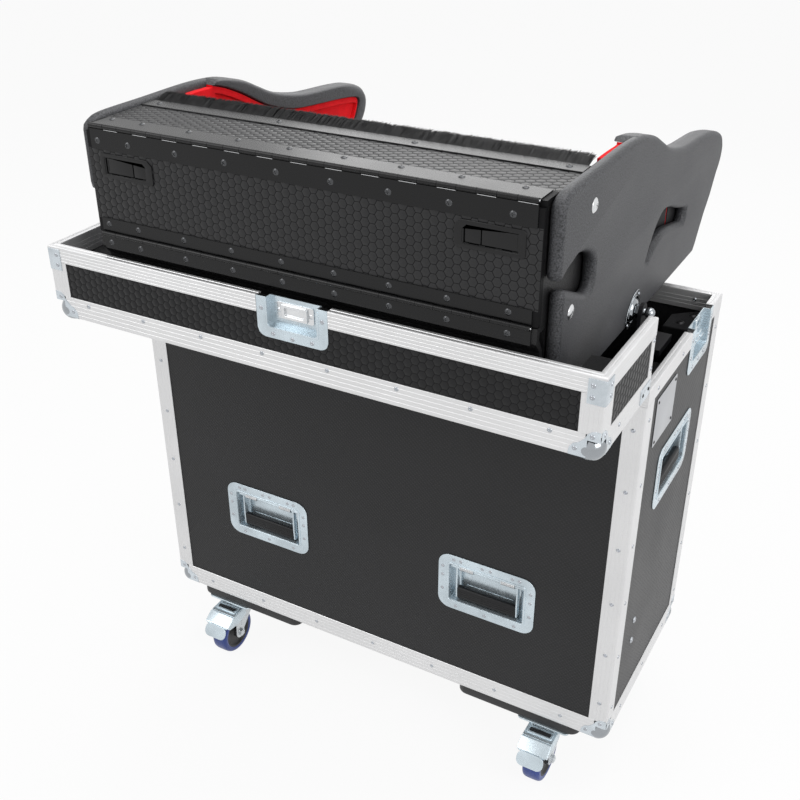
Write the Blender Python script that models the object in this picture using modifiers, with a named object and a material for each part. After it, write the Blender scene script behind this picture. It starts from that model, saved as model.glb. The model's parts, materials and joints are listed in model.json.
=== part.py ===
# Flight case for a mixing console: wheeled road case, fold-down front tray and flip-up cradle.
# Units are metres, +Z up, the front of the case faces -Y, the origin is on the floor under the
# centre of the whole object. The pose is the open one: tray down, cradle level above the case.
import math
import random

import bmesh
import bpy
from mathutils import Matrix, Vector

for old in list(bpy.data.objects):
    bpy.data.objects.remove(old, do_unlink=True)

# Driving sizes of the case
CASE_W = 1.000
CASE_D = 0.422
CASE_H = 0.744
STACK_H = 0.155
TRAY_D = 0.220
TRAY_H = 0.1265
CRADLE_REACH = 0.676
PLY = 0.0095
GAP = 0.0003
SHEET = 0.0015
CORNER_PROUD = 0.0020

# How far a cutter runs past the face it opens
BEYOND = 0.010

# Extrusion flanges
POST_LEG = 0.036
FOOT_LEG = 0.043
RIM_OUTER = 0.029
RIM_LIP = 0.015
RIM_INNER = 0.036
TRAY_FOOT_LEG = 0.039
TRAY_POST_LEG = 0.035

# Planes that follow from the driving sizes
HALF_W = CASE_W / 2
FRONT = -(CRADLE_REACH - TRAY_D - CORNER_PROUD) / 2
BACK = FRONT + CASE_D
BASE = STACK_H
RIM = BASE + CASE_H
SKIN = SHEET + GAP
SIDE_OUT = HALF_W - SKIN
SIDE_IN = SIDE_OUT - PLY
PANEL_FRONT = FRONT + SKIN
PANEL_BACK = BACK - SKIN
FLOOR_TOP = BASE + SKIN + PLY

# Tray, hinged on the top front edge of the case
TRAY_FRONT = FRONT - TRAY_D
TRAY_BACK = FRONT - 0.0045
TRAY_BOTTOM = RIM - 0.0035
TRAY_RIM = TRAY_BOTTOM + 0.0035 + TRAY_H
TRAY_PIN_Y = FRONT
TRAY_PIN_Z = RIM
TRAY_PIN_R = 0.0032

# Cradle that carries the console
CHEEK_OUT = HALF_W - 0.088
CHEEK_T = 0.022
CHEEK_IN = CHEEK_OUT - CHEEK_T
CHEEK_EASE = 0.006
LIP_W = 0.019
LINER_T = 0.014
PAN_T = 0.012
PAN_STEP = 0.0015
PAN_TOP = BASE + 0.7885
PAN_BACK = FRONT + 0.524
PIN_Y = FRONT + 0.160
PIN_Z = BASE + 0.798
HOUSE_HALF = CHEEK_IN - 0.0005
HOUSE_FRONT = FRONT - 0.200
HOUSE_PLY = 0.009
HOUSE_TOP = BASE + 1.086
HOUSE_LOW = BASE + 0.9085
LEAF_T = 0.0015
KNUCKLE_R = 0.004
KNUCKLES = 26
KNUCKLE_PITCH = (2 * HOUSE_HALF - 0.0172) / KNUCKLES

# Lift
STROKE = 0.54
BAR_T = 0.006
BAR_X = CHEEK_OUT + 0.0175
BAR_W = 0.030
NECK_R = 0.006
BALL_X = CHEEK_OUT + 0.030
BALL_R = 0.009

# Casters
WHEEL_R = 0.050
WHEEL_W = 0.036
CASTER_X = HALF_W - 0.125
CASTER_IN = 0.045
TRAIL = 0.038
BOARD_T = 0.025
PLATE_T = 0.003

CASE = bpy.data.collections.new("mixer_flight_case")
CUTTERS = bpy.data.collections.new("cutters")
bpy.context.scene.collection.children.link(CASE)
bpy.context.scene.collection.children.link(CUTTERS)

# Turns of a flat outline into the planes of the case: (u, v, w) to (x, y, z)
FACE_UP = Matrix.Identity(4)
FACE_FRONT = Matrix(((1, 0, 0, 0), (0, 0, -1, 0), (0, 1, 0, 0), (0, 0, 0, 1)))
FACE_RIGHT = Matrix(((0, 0, 1, 0), (1, 0, 0, 0), (0, 1, 0, 0), (0, 0, 0, 1)))
FACE_LEFT = Matrix(((0, 0, -1, 0), (-1, 0, 0, 0), (0, 1, 0, 0), (0, 0, 0, 1)))
MIRROR_X = Matrix.Diagonal((-1, 1, 1, 1))

# Surface classes: colour, metallic, roughness
FINISHES = {
    "laminate_black": ((0.028, 0.028, 0.031), 0.0, 0.55),
    "laminate_hex": ((0.020, 0.020, 0.022), 0.0, 0.50),
    "aluminium_satin": ((0.80, 0.80, 0.81), 1.0, 0.34),
    "zinc_plate": ((0.66, 0.71, 0.76), 1.0, 0.25),
    "black_metal": ((0.012, 0.012, 0.013), 0.3, 0.35),
    "grey_plastic": ((0.085, 0.086, 0.092), 0.0, 0.60),
    "red_felt": ((0.72, 0.018, 0.022), 0.0, 0.90),
    "black_plastic": ((0.013, 0.013, 0.014), 0.0, 0.45),
    "black_rubber": ((0.014, 0.014, 0.015), 0.0, 0.60),
    "blue_tyre": ((0.035, 0.085, 0.36), 0.0, 0.45),
    "black_foam": ((0.010, 0.010, 0.011), 0.0, 0.95),
    "black_carpet": ((0.016, 0.016, 0.017), 0.0, 0.95),
}


def vec(x, y, z):
    return Vector((x, y, z))


def shift(x, y, z):
    return Matrix.Translation((x, y, z))


# Temporary object from a mesh, linked so that its modifiers can be evaluated
def temp(mesh):
    item = bpy.data.objects.new(mesh.name, mesh)
    CUTTERS.objects.link(item)
    item.hide_render = True
    item.display_type = "WIRE"
    return item


# Faces of a closed mesh turned outwards
def outward(bm):
    bmesh.ops.recalc_face_normals(bm, faces=bm.faces)
    if bm.calc_volume(signed=True) < 0:
        bmesh.ops.reverse_faces(bm, faces=bm.faces)


# Plain closed mesh of an object with its modifiers applied
def solid(item):
    bpy.context.view_layer.update()
    graph = bpy.context.evaluated_depsgraph_get()
    mesh = bpy.data.meshes.new_from_object(item.evaluated_get(graph))
    mesh.transform(item.matrix_world)
    bpy.data.objects.remove(item, do_unlink=True)
    bm = bmesh.new()
    bm.from_mesh(mesh)
    bmesh.ops.remove_doubles(bm, verts=bm.verts, dist=0.00001)
    outward(bm)
    bm.to_mesh(mesh)
    bm.free()
    return mesh


def from_bm(bm, name):
    mesh = bpy.data.meshes.new(name)
    outward(bm)
    bm.to_mesh(mesh)
    bm.free()
    return mesh


def box(low, high):
    bm = bmesh.new()
    size = [b - a for a, b in zip(low, high)]
    middle = [(a + b) / 2 for a, b in zip(low, high)]
    bmesh.ops.create_cube(bm, size=1.0, matrix=shift(*middle) @ Matrix.Diagonal((*size, 1)))
    return from_bm(bm, "box")


# Cylinder or cone along local Z, from z0 to z1, turned and placed by a matrix
def rod(radius, z0, z1, place, sides=16, top=None):
    bm = bmesh.new()
    bmesh.ops.create_cone(bm, cap_ends=True, segments=sides, radius1=radius,
                          radius2=radius if top is None else top, depth=z1 - z0,
                          matrix=place @ shift(0, 0, (z0 + z1) / 2))
    return from_bm(bm, "rod")


def ball(radius, place, sides=20):
    bm = bmesh.new()
    bmesh.ops.create_uvsphere(bm, u_segments=sides, v_segments=sides // 2, radius=radius, matrix=place)
    return from_bm(bm, "ball")


# Flat sheet from closed outlines (the later ones are holes), from w0 to w1 along the plane's normal
def plate(loops, w0, w1, place=FACE_UP, edge=0.0, rounds=1):
    curve = bpy.data.curves.new("plate", "CURVE")
    curve.dimensions = "2D"
    curve.fill_mode = "BOTH"
    curve.extrude = (w1 - w0) / 2 - edge
    curve.bevel_depth = edge
    curve.bevel_resolution = rounds
    curve.offset = -edge
    for loop in loops:
        line = curve.splines.new("POLY")
        line.points.add(len(loop) - 1)
        for point, (u, v) in zip(line.points, loop):
            point.co = (u, v, 0, 1)
        line.use_cyclic_u = True
    item = bpy.data.objects.new("plate", curve)
    CUTTERS.objects.link(item)
    mesh = solid(item)
    mesh.transform(place @ shift(0, 0, (w0 + w1) / 2))
    return mesh


# Turned shape about local Z from (radius, height) pairs down its outer side
def turned(profile, steps, place):
    mesh = bpy.data.meshes.new("turned")
    points = [(r, 0, h) for r, h in profile]
    mesh.from_pydata(points, [(i, i + 1) for i in range(len(points) - 1)], [])
    item = temp(mesh)
    screw = item.modifiers.new("turn", "SCREW")
    screw.axis = "Z"
    screw.steps = steps
    screw.render_steps = steps
    screw.use_merge_vertices = True
    screw.merge_threshold = 0.00001
    result = solid(item)
    result.transform(place)
    return result


# Rounded rectangle about (cu, cv)
def rounded(width, height, radius, cu=0.0, cv=0.0, steps=3):
    points = []
    for k, (su, sv) in enumerate(((1, 1), (-1, 1), (-1, -1), (1, -1))):
        for i in range(steps + 1):
            angle = math.radians(90 * k + 90 * i / steps)
            points.append((cu + su * (width / 2 - radius) + radius * math.cos(angle),
                           cv + sv * (height / 2 - radius) + radius * math.sin(angle)))
    return points


def ring(radius, cu, cv, steps=12, ratio=1.0, turn=0.0):
    points = []
    for i in range(steps):
        a = 2 * math.pi * i / steps
        u, v = radius * math.cos(a), radius * ratio * math.sin(a)
        points.append((cu + u * math.cos(turn) - v * math.sin(turn),
                       cv + u * math.sin(turn) + v * math.cos(turn)))
    return points


# Smooth run through points, from the first to the last
def smooth(points, steps=3):
    ends = [points[0]] + list(points) + [points[-1]]
    result = []
    for i in range(1, len(ends) - 2):
        a, b, c, d = (Vector(p) for p in ends[i - 1:i + 3])
        for k in range(steps):
            t = k / steps
            result.append(tuple(0.5 * ((2 * b) + (c - a) * t + (2 * a - 5 * b + 4 * c - d) * t * t
                                       + (3 * b - a - 3 * c + d) * t * t * t)))
    result.append(tuple(points[-1]))
    return result


# Run of points moved sideways by a distance, to the right of its direction
def beside(points, distance):
    moved = []
    for i, p in enumerate(points):
        a = Vector(points[max(i - 1, 0)])
        b = Vector(points[min(i + 1, len(points) - 1)])
        along = (b - a).normalized()
        moved.append((p[0] + along.y * distance, p[1] - along.x * distance))
    return moved


# Boolean of one mesh with others, each applied in turn
def combine(mesh, others, operation):
    item = temp(mesh)
    helpers = []
    for other in others:
        tool = temp(other)
        step = item.modifiers.new(operation, "BOOLEAN")
        step.solver = "EXACT"
        step.operation = operation
        step.object = tool
        helpers.append(tool)
    result = solid(item)
    for tool in helpers:
        bpy.data.objects.remove(tool, do_unlink=True)
    return result


def join(mesh, others):
    return combine(mesh, others, "UNION")


def cut(mesh, others):
    return combine(mesh, others, "DIFFERENCE")


# Edges of a mesh rounded by a bevel
def eased(mesh, width, segments=2, angle=50):
    item = temp(mesh)
    step = item.modifiers.new("ease", "BEVEL")
    step.width = width
    step.segments = segments
    step.limit_method = "ANGLE"
    step.angle_limit = math.radians(angle)
    return solid(item)


def placed(mesh, place):
    copy = mesh.copy()
    copy.transform(place)
    if place.determinant() < 0:
        copy.flip_normals()
    return copy


# Parent empties of the moving bodies, each on its joint
JOINTS = {}


def joint(name, x, y, z, parent=None):
    item = bpy.data.objects.new(name, None)
    item.empty_display_size = 0.03
    CASE.objects.link(item)
    item.location = (x, y, z)
    if parent:
        item.parent = JOINTS[parent]
        item.location = vec(x, y, z) - vec(*JOINTS[parent]["place"])
    item["place"] = (x, y, z)
    JOINTS[name] = item


# Named node from one closed mesh, hung on the empty of its body
def node(name, mesh, slot, body=None, sharp=32):
    mesh = mesh.copy()
    mesh.name = name
    item = bpy.data.objects.new(name, mesh)
    CASE.objects.link(item)
    if body:
        place = vec(*JOINTS[body]["place"])
        mesh.transform(Matrix.Translation(-place))
        item.parent = JOINTS[body]
    colour, metallic, roughness = FINISHES[slot]
    material = bpy.data.materials.new(name + "_" + slot)
    material.use_nodes = True
    shader = material.node_tree.nodes["Principled BSDF"]
    shader.inputs["Base Color"].default_value = (*colour, 1)
    shader.inputs["Metallic"].default_value = metallic
    shader.inputs["Roughness"].default_value = roughness
    mesh.materials.append(material)
    mesh.shade_smooth()
    mesh.set_sharp_from_angle(angle=math.radians(sharp))
    return item


# The same piece on the right side and, mirrored, on the left side
def pair(name, mesh, slot, body=None, sharp=32):
    node(name + "_left", placed(mesh, MIRROR_X), slot, body, sharp)
    node(name + "_right", mesh, slot, body, sharp)


# Joints of the moving bodies
joint("lift", 0, PIN_Y, PIN_Z)
joint("cradle", 0, PIN_Y, PIN_Z, "lift")
joint("tray", 0, TRAY_PIN_Y, TRAY_PIN_Z)
LOW_PIN_Y = HOUSE_FRONT - LEAF_T - GAP - 0.0027
joint("front_panel", 0, LOW_PIN_Y, HOUSE_LOW, "cradle")
TOP_PIN_Y = HOUSE_FRONT - 0.0005
TOP_PIN_Z = HOUSE_TOP + 0.0005
joint("top_panel", 0, TOP_PIN_Y, TOP_PIN_Z, "front_panel")

# Recessed spring handle: flanged dish pressed from zinc plated sheet, let into a panel
DISH_W = 0.195
DISH_H = 0.125
WELL_W = 0.150
WELL_H = 0.082
WELL_DEPTH = 0.0195
dish_flange = plate([rounded(DISH_W, DISH_H, 0.024, steps=3)], GAP, SHEET + GAP, edge=0.0005, rounds=0)
dish_back = plate([rounded(WELL_W + 0.004, WELL_H + 0.004, 0.005, steps=2)], -WELL_DEPTH - SHEET, SHEET)
dish_well = plate([rounded(WELL_W, WELL_H, 0.003, steps=2)], -WELL_DEPTH, 0.010)
handle_dish = cut(join(dish_flange, [dish_back]), [dish_well])
dish_hole = plate([rounded(WELL_W + 0.0046, WELL_H + 0.0046, 0.0053, steps=2)], -0.030, 0.010)

# Handle grip: rubber covered bar on two arms that hang from a rod across the top of the dish
GRIP_ROD_V = 0.0335
GRIP_ROD_W = -0.0060
GRIP_BAR_V = -0.0200
grip_rod = rod(0.003, -WELL_W / 2 + GAP, WELL_W / 2 - GAP, FACE_RIGHT, sides=10)
grip_rod.transform(shift(0, GRIP_ROD_V, GRIP_ROD_W))
grip_bar = plate([rounded(0.027, 0.0135, 0.005, GRIP_BAR_V, -0.0080, 2)], -0.060, 0.060, FACE_RIGHT)
arm_outline = [(GRIP_ROD_V + 0.003, GRIP_ROD_W - 0.003), (GRIP_ROD_V + 0.003, GRIP_ROD_W + 0.003),
               (GRIP_BAR_V + 0.010, -0.0025), (GRIP_BAR_V - 0.011, -0.0035),
               (GRIP_BAR_V - 0.011, -0.0130), (GRIP_BAR_V + 0.010, -0.0130)]
grip_arms = [plate([arm_outline], s - 0.0035, s + 0.0035, FACE_RIGHT) for s in (-0.0625, 0.0625)]
handle_grip = join(grip_rod, [grip_bar] + grip_arms)

HANDLE_X = 0.49 * HALF_W
HANDLE_Z = BASE + 0.250
SIDE_HANDLE_Y = FRONT + 0.507 * CASE_D
SIDE_HANDLE_Z = RIM - 0.237
handle_places = {
    "front_left": shift(-HANDLE_X, PANEL_FRONT, HANDLE_Z) @ FACE_FRONT,
    "front_right": shift(HANDLE_X, PANEL_FRONT, HANDLE_Z) @ FACE_FRONT,
    "left": shift(-SIDE_OUT, SIDE_HANDLE_Y, SIDE_HANDLE_Z) @ FACE_LEFT,
    "right": shift(SIDE_OUT, SIDE_HANDLE_Y, SIDE_HANDLE_Z) @ FACE_RIGHT,
}

# Recessed latch let into a rim: the well is open at the rim so that the other half can meet it
LATCH_W = 0.130
LATCH_WELL_W = 0.092
LATCH_DEPTH = 0.0105
LATCH_CORNER = 0.014
WELL_EASE = 0.004


def latch_dish(height, well_height):
    half = LATCH_W / 2
    near, far = LATCH_CORNER * 0.3, LATCH_CORNER
    flange_outline = [(-half, -GAP), (-half, -height + far), (-half + near, -height + near),
                      (-half + far, -height), (half - far, -height), (half - near, -height + near),
                      (half, -height + far), (half, -GAP)]
    flange = plate([flange_outline], GAP, SHEET + GAP)
    back = box((-LATCH_WELL_W / 2 - SHEET, -well_height - SHEET, -LATCH_DEPTH - SHEET),
               (LATCH_WELL_W / 2 + SHEET, -2 * GAP, SHEET))
    well = box((-LATCH_WELL_W / 2, -well_height, -LATCH_DEPTH), (LATCH_WELL_W / 2, BEYOND, BEYOND))
    return cut(join(flange, [back]), [eased(well, WELL_EASE, 2)])


def latch_hole(well_height):
    side = LATCH_WELL_W / 2 + SHEET + GAP
    return box((-side, -well_height - SHEET - GAP, -2 * BEYOND), (side, 2 * BEYOND, 2 * BEYOND))


def latch_notch():
    reach = RIM_INNER + 2 * BEYOND
    return box((-LATCH_W / 2 - GAP, -reach, -LATCH_DEPTH - SHEET - GAP), (LATCH_W / 2 + GAP, BEYOND, BEYOND))


SIDE_LATCH_H = 0.086
SIDE_LATCH_WELL = 0.064
TRAY_LATCH_H = 0.068
TRAY_LATCH_WELL = 0.050
SIDE_LATCH_Y = BACK - 0.124
WING_V = -0.036
side_latch = latch_dish(SIDE_LATCH_H, SIDE_LATCH_WELL)

# Butterfly wing of the side latches: hub and folded wing plate on one spindle
wing_hub = rod(0.009, -LATCH_DEPTH + GAP, -0.0030, shift(0, WING_V, 0), sides=16)
wing_plate = plate([rounded(0.042, 0.022, 0.006, 0, WING_V)], -0.0060, -0.0035)
wing_ear = box((-0.0215, WING_V - 0.0012, -0.0045), (0.0215, WING_V + 0.0012, 0.0005))
latch_wing = join(wing_plate, [wing_hub, eased(wing_ear, 0.0006, 1)])

# Tray keeper: the other half of a latch, with a hook plate in place of the wing
hook = join(box((-0.024, -0.034, -LATCH_DEPTH - 0.0005), (0.024, -0.010, -0.0045)),
            [box((-0.034, -0.036, -LATCH_DEPTH - 0.0005), (0.034, -0.008, -LATCH_DEPTH + 0.0015))])
hook = cut(hook, [box((-0.019, -0.029, -LATCH_DEPTH + 0.0020), (0.019, -0.015, 0.0))])
tray_keeper = join(latch_dish(TRAY_LATCH_H, TRAY_LATCH_WELL), [hook])

latch_places = {
    "left": shift(-SIDE_OUT, SIDE_LATCH_Y, RIM) @ FACE_LEFT,
    "right": shift(SIDE_OUT, SIDE_LATCH_Y, RIM) @ FACE_RIGHT,
}
tray_latch_place = shift(0, TRAY_FRONT + SKIN, TRAY_RIM) @ FACE_FRONT

# Body panels: plywood with a laminate face, slotted into the extrusions
side_right = box((SIDE_IN, PANEL_FRONT, BASE + SKIN), (SIDE_OUT, PANEL_BACK, RIM - SKIN))
side_right = cut(side_right, [placed(dish_hole, handle_places["right"]),
                              placed(latch_hole(SIDE_LATCH_WELL), latch_places["right"])])
pair("body_side_panel", side_right, "laminate_black")
inner_half = SIDE_IN - GAP
front_panel = box((-inner_half, PANEL_FRONT, BASE + SKIN), (inner_half, PANEL_FRONT + PLY, RIM - 0.0080))
front_panel = cut(front_panel, [placed(dish_hole, handle_places["front_left"]),
                                placed(dish_hole, handle_places["front_right"])])
node("body_front_panel", front_panel, "laminate_black")
node("body_back_panel", box((-inner_half, PANEL_BACK - PLY, BASE + SKIN),
                            (inner_half, PANEL_BACK, RIM - SKIN)), "laminate_black")
node("body_floor", box((-inner_half, PANEL_FRONT + PLY + GAP, BASE + SKIN),
                       (inner_half, PANEL_BACK - PLY - GAP, FLOOR_TOP)), "laminate_black")


# Ball corner: pressed cap over three faces, its outline rounded by a sphere
def ball_corner(reach):
    outer = eased(box((-CORNER_PROUD,) * 3, (reach + 0.02,) * 3), 0.007, 2)
    inner = eased(box((0.0009,) * 3, (reach + 0.04,) * 3), 0.0015, 1)
    near = reach * 0.30
    cap = ball(math.hypot(reach - near, near), shift(near, near, near), sides=20)
    return cut(combine(outer, [cap], "INTERSECT"), [inner])


# Piano hinge leaf: strip with tabs and barrels fused on its edge. Its axis runs along X at the
# origin and the strip runs away from the axis along +v, at the height low above it.
def hinge_leaf(count, pitch, parity, radius, near, far, low, sides=6):
    half = count * pitch / 2
    tab_in = 0.0012
    tab_end = 0.0002
    tab_sink = 0.0001
    tabs = bmesh.new()
    barrels = bmesh.new()
    for i in range(parity, count, 2):
        u0 = -half + i * pitch + GAP / 2
        u1 = u0 + pitch - GAP
        tabs.from_mesh(box((u0 + tab_in, -tab_end, low + tab_sink),
                           (u1 - tab_in, near + 0.002, low + LEAF_T - tab_sink)))
        barrels.from_mesh(rod(radius, u0, u1, FACE_RIGHT, sides=sides))
    strip = box((-half, near, low), (half, far, low + LEAF_T))
    return join(strip, [from_bm(tabs, "tabs"), from_bm(barrels, "barrels")])


# Frame of extruded angle: thin box with windows over the panels, channel round its rim
def frame_shell(low, high, foot, post_x, post_y, open_back):
    (x0, y0, z0), (x1, y1, z1) = low, high
    beyond = 0.05
    shell = box(low, high)
    hollow = box((x0 + SHEET, y0 + SHEET, z0 + SHEET), (x1 - SHEET, y1 - SHEET, z1 - SHEET))
    back = y1 + beyond if open_back else y1 - RIM_LIP
    mouth = box((x0 + RIM_LIP, y0 + RIM_LIP, z0 + foot), (x1 - RIM_LIP, back, z1 + beyond))
    top = z1 - RIM_OUTER
    through_y = box((x0 + post_x, y0 - beyond, z0 + foot), (x1 - post_x, y1 + beyond, top))
    side_back = y1 - (RIM_LIP if open_back else post_y)
    through_x = box((x0 - beyond, y0 + post_y, z0 + foot), (x1 + beyond, side_back, top))
    under_back = y1 + beyond if open_back else y1 - foot
    under = box((x0 + foot, y0 + foot, z0 - beyond), (x1 - foot, under_back, z0 + foot + 0.01))
    shell = cut(shell, [hollow, mouth, through_y, through_x, under])
    lip_back = y1 - (SHEET / 2 if open_back else RIM_LIP - SHEET)
    flange = box((x0 + RIM_LIP - SHEET, y0 + RIM_LIP - SHEET, z1 - RIM_INNER),
                 (x1 - RIM_LIP + SHEET, lip_back, z1 - SHEET / 2))
    set_back = RIM_LIP - GAP
    bore_back = back if open_back else y1 - set_back
    bore = box((x0 + set_back, y0 + set_back, z1 - RIM_INNER - beyond), (x1 - set_back, bore_back, z1 + beyond))
    return join(shell, [cut(flange, [bore])])


# Body frame with its ball corners and the fixed leaf of the tray hinge
body_frame = frame_shell((-HALF_W, FRONT, BASE), (HALF_W, BACK, RIM), FOOT_LEG, POST_LEG, POST_LEG, False)
HINGE_CUT = 0.005
rim_bar = box((-inner_half, FRONT + 0.0005, RIM - 0.0075), (inner_half, FRONT + 0.0078, RIM - 0.0005))
corner_edge = plate([[(FRONT - 0.01, RIM - HINGE_CUT - 0.01), (FRONT + HINGE_CUT + 0.01, RIM + 0.01),
                      (FRONT - 0.01, RIM + 0.01)]], -inner_half + 0.002, inner_half - 0.002, FACE_RIGHT)
body_frame = cut(join(body_frame, [rim_bar]),
                 [corner_edge, placed(latch_notch(), latch_places["left"]),
                  placed(latch_notch(), latch_places["right"])])
BODY_REACH = 0.048
cap = ball_corner(BODY_REACH)
nick = 0.012
cap_places = [shift(sx * HALF_W, y, BASE) @ Matrix.Diagonal((-sx, sy, 1, 1))
              for sx in (-1, 1) for y, sy in ((FRONT, 1), (BACK, -1))]
nicks = [placed(box((-0.01,) * 3, (nick,) * 3), p) for p in cap_places]
body_frame = join(cut(body_frame, nicks), [placed(cap, p) for p in cap_places])
TRAY_KNUCKLES = 11
TRAY_PITCH = (CASE_W - 0.032) / TRAY_KNUCKLES
TRAY_LEAF = 0.026
hinge_place = shift(0, TRAY_PIN_Y, TRAY_PIN_Z)
down_front = Matrix(((1, 0, 0, 0), (0, 0, -1, 0), (0, -1, 0, 0), (0, 0, 0, 1)))
fixed_leaf = hinge_leaf(TRAY_KNUCKLES, TRAY_PITCH, 0, TRAY_PIN_R, 0.0058, TRAY_LEAF, -0.0004)
body_frame = join(body_frame, [placed(fixed_leaf, hinge_place @ down_front)])
node("body_frame", body_frame, "aluminium_satin")

# Handle dishes and grips of the body
for side, place in handle_places.items():
    pivot = place @ vec(0, GRIP_ROD_V, GRIP_ROD_W)
    joint("grip_" + side, *pivot)
    node("handle_dish_" + side, placed(handle_dish, place), "zinc_plate")
    node("handle_grip_" + side, placed(handle_grip, place), "black_rubber", "grip_" + side)

# Side latches of the body
for side, place in latch_places.items():
    joint("wing_" + side, *(place @ vec(0, WING_V, 0)))
    node("latch_dish_" + side, placed(side_latch, place), "zinc_plate")
    node("latch_wing_" + side, placed(latch_wing, place), "zinc_plate", "wing_" + side)

# Caster boards under the floor and the caster top plates on them
BOARD_IN = CASTER_X - 0.185
BOARD_OUT = CASTER_X + 0.070
board_top = BASE - GAP
board_middle = (BOARD_IN + BOARD_OUT) / 2
board_outline = rounded(BOARD_OUT - BOARD_IN, CASE_D - 0.010, 0.020, board_middle, FRONT + CASE_D / 2, 3)
board = plate([board_outline], board_top - BOARD_T, board_top, edge=0.002, rounds=0)
plate_top = board_top - BOARD_T
plate_low = plate_top - PLATE_T
caster_spots = {}
for end, y in (("front", FRONT + CASTER_IN), ("back", BACK - CASTER_IN)):
    for side, sx in (("left", -1), ("right", 1)):
        caster_spots[end + "_" + side] = (sx * CASTER_X, y)
top_plates = [plate([rounded(0.105, 0.085, 0.008, CASTER_X, y)], plate_low, plate_top + 0.001)
              for y in (FRONT + CASTER_IN, BACK - CASTER_IN)]
pair("caster_board", join(board, top_plates), "black_plastic")

# Caster fork about its swivel axis, trailing to -Y: bearing, crown, two legs, axle and nuts
AXLE_Z = WHEEL_R - plate_low
FORK_TOP = -GAP
FORK_IN = 0.0212
FORK_T = 0.003
CROWN_Z = FORK_TOP - 0.0075
bearing = turned([(0, FORK_TOP), (0.020, FORK_TOP), (0.027, FORK_TOP - 0.0030), (0.027, CROWN_Z - 0.0005),
                  (0, CROWN_Z - 0.0005)], 16, FACE_UP)
crown = box((-FORK_IN - FORK_T, -0.027, CROWN_Z - FORK_T), (FORK_IN + FORK_T, 0.024, CROWN_Z))
leg_foot = [(-TRAIL + 0.013 * math.cos(a), AXLE_Z + 0.013 * math.sin(a))
            for a in (math.radians(d) for d in (10, -20, -55, -90, -125, -160, -190))]
leg = [(-0.033, CROWN_Z), (0.024, CROWN_Z), (0.020, CROWN_Z - 0.018)] + leg_foot + \
      [(-0.046, CROWN_Z - 0.030), (-0.037, CROWN_Z - 0.012)]
legs = [plate([leg], s - FORK_T / 2, s + FORK_T / 2, FACE_RIGHT)
        for s in (-FORK_IN - FORK_T / 2, FORK_IN + FORK_T / 2)]
AXLE_R = 0.005
axle_place = shift(0, -TRAIL, AXLE_Z) @ FACE_RIGHT
axle = rod(AXLE_R, -FORK_IN - FORK_T - 0.007, FORK_IN + FORK_T + 0.007, axle_place, sides=12)
nuts = [rod(0.0088, s * 0.0270 - 0.003, s * 0.0270 + 0.003, axle_place, sides=6) for s in (-1, 1)]
fork = join(bearing, [crown] + legs + [axle] + nuts)

# Wheel: moulded centre with a blue tread, turned about its axle
rim_side = WHEEL_W / 2
wheel_half = [(AXLE_R + GAP, 0.0205), (0.013, 0.0205), (0.015, 0.0160), (0.034, 0.0155), (0.0380, rim_side),
              (0.0470, rim_side - 0.0010), (WHEEL_R, 0.0110)]
wheel_line = wheel_half + [(r, -h) for r, h in reversed(wheel_half)]
wheel_mesh = turned(wheel_line + [wheel_line[0]], 20, FACE_UP)

# Brake pedal: bent tread plate over the front of the wheel, on a hinge barrel between the legs
PEDAL_Y = -0.0285
PEDAL_Z = CROWN_Z - 0.0085
pedal_barrel = rod(0.0035, -FORK_IN + GAP, FORK_IN - GAP, shift(0, PEDAL_Y, PEDAL_Z) @ FACE_RIGHT, sides=10)
pedal_line = [(PEDAL_Y, PEDAL_Z), (-0.062, PEDAL_Z - 0.0010), (-0.086, PEDAL_Z - 0.0150),
              (-0.1010, PEDAL_Z - 0.0400)]
pedal_sheet = plate([pedal_line + list(reversed(beside(pedal_line, -0.0030)))], -0.0190, 0.0190, FACE_RIGHT)
pedal = join(pedal_barrel, [pedal_sheet])

for spot, (x, y) in caster_spots.items():
    turn = FACE_UP if spot.startswith("front") else Matrix.Rotation(math.pi, 4, "Z")
    place = shift(x, y, plate_low) @ turn
    joint("swivel_" + spot, x, y, plate_low)
    node("caster_fork_" + spot, placed(fork, place), "zinc_plate", "swivel_" + spot)
    centre = place @ vec(0, -TRAIL, AXLE_Z)
    joint("wheel_" + spot, *centre, "swivel_" + spot)
    node("caster_wheel_" + spot, placed(wheel_mesh, shift(*centre) @ FACE_RIGHT), "blue_tyre", "wheel_" + spot)
    if spot.startswith("front"):
        joint("pedal_" + spot, *(place @ vec(0, PEDAL_Y, PEDAL_Z)), "swivel_" + spot)
        node("brake_pedal_" + spot, placed(pedal, place), "zinc_plate", "pedal_" + spot)

# Lift inside the case: guides on the side walls, bars that hang on the pins, gas springs behind them
GUIDE_LOW = BASE + 0.030
GUIDE_TOP = BASE + 0.700
GUIDE_IN = CHEEK_OUT + 0.0085
bar_half = BAR_W / 2
guide = box((GUIDE_IN, PIN_Y - 0.025, GUIDE_LOW), (SIDE_IN - GAP, PIN_Y + 0.025, GUIDE_TOP))
guide = cut(guide, [box((BAR_X - BAR_T / 2 - GAP, PIN_Y - bar_half - GAP, GUIDE_LOW - 0.01),
                        (BAR_X + BAR_T / 2 + GAP, PIN_Y + bar_half + GAP, GUIDE_TOP + 0.01)),
                    box((GUIDE_IN - 0.01, PIN_Y - 0.008, GUIDE_LOW - 0.01),
                        (BAR_X, PIN_Y + 0.008, GUIDE_TOP + 0.01)),
                    box((SIDE_OUT - WELL_DEPTH - SHEET - GAP, PIN_Y - 0.05, SIDE_HANDLE_Z - WELL_H / 2 - 0.0024),
                        (SIDE_OUT, PIN_Y + 0.05, SIDE_HANDLE_Z + WELL_H / 2 + 0.0024))])
BAR_LOW = BASE + 0.080
bar_top = [(PIN_Y + bar_half * math.cos(a), PIN_Z + bar_half * math.sin(a))
           for a in (math.radians(30 * i) for i in range(7))]
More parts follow.
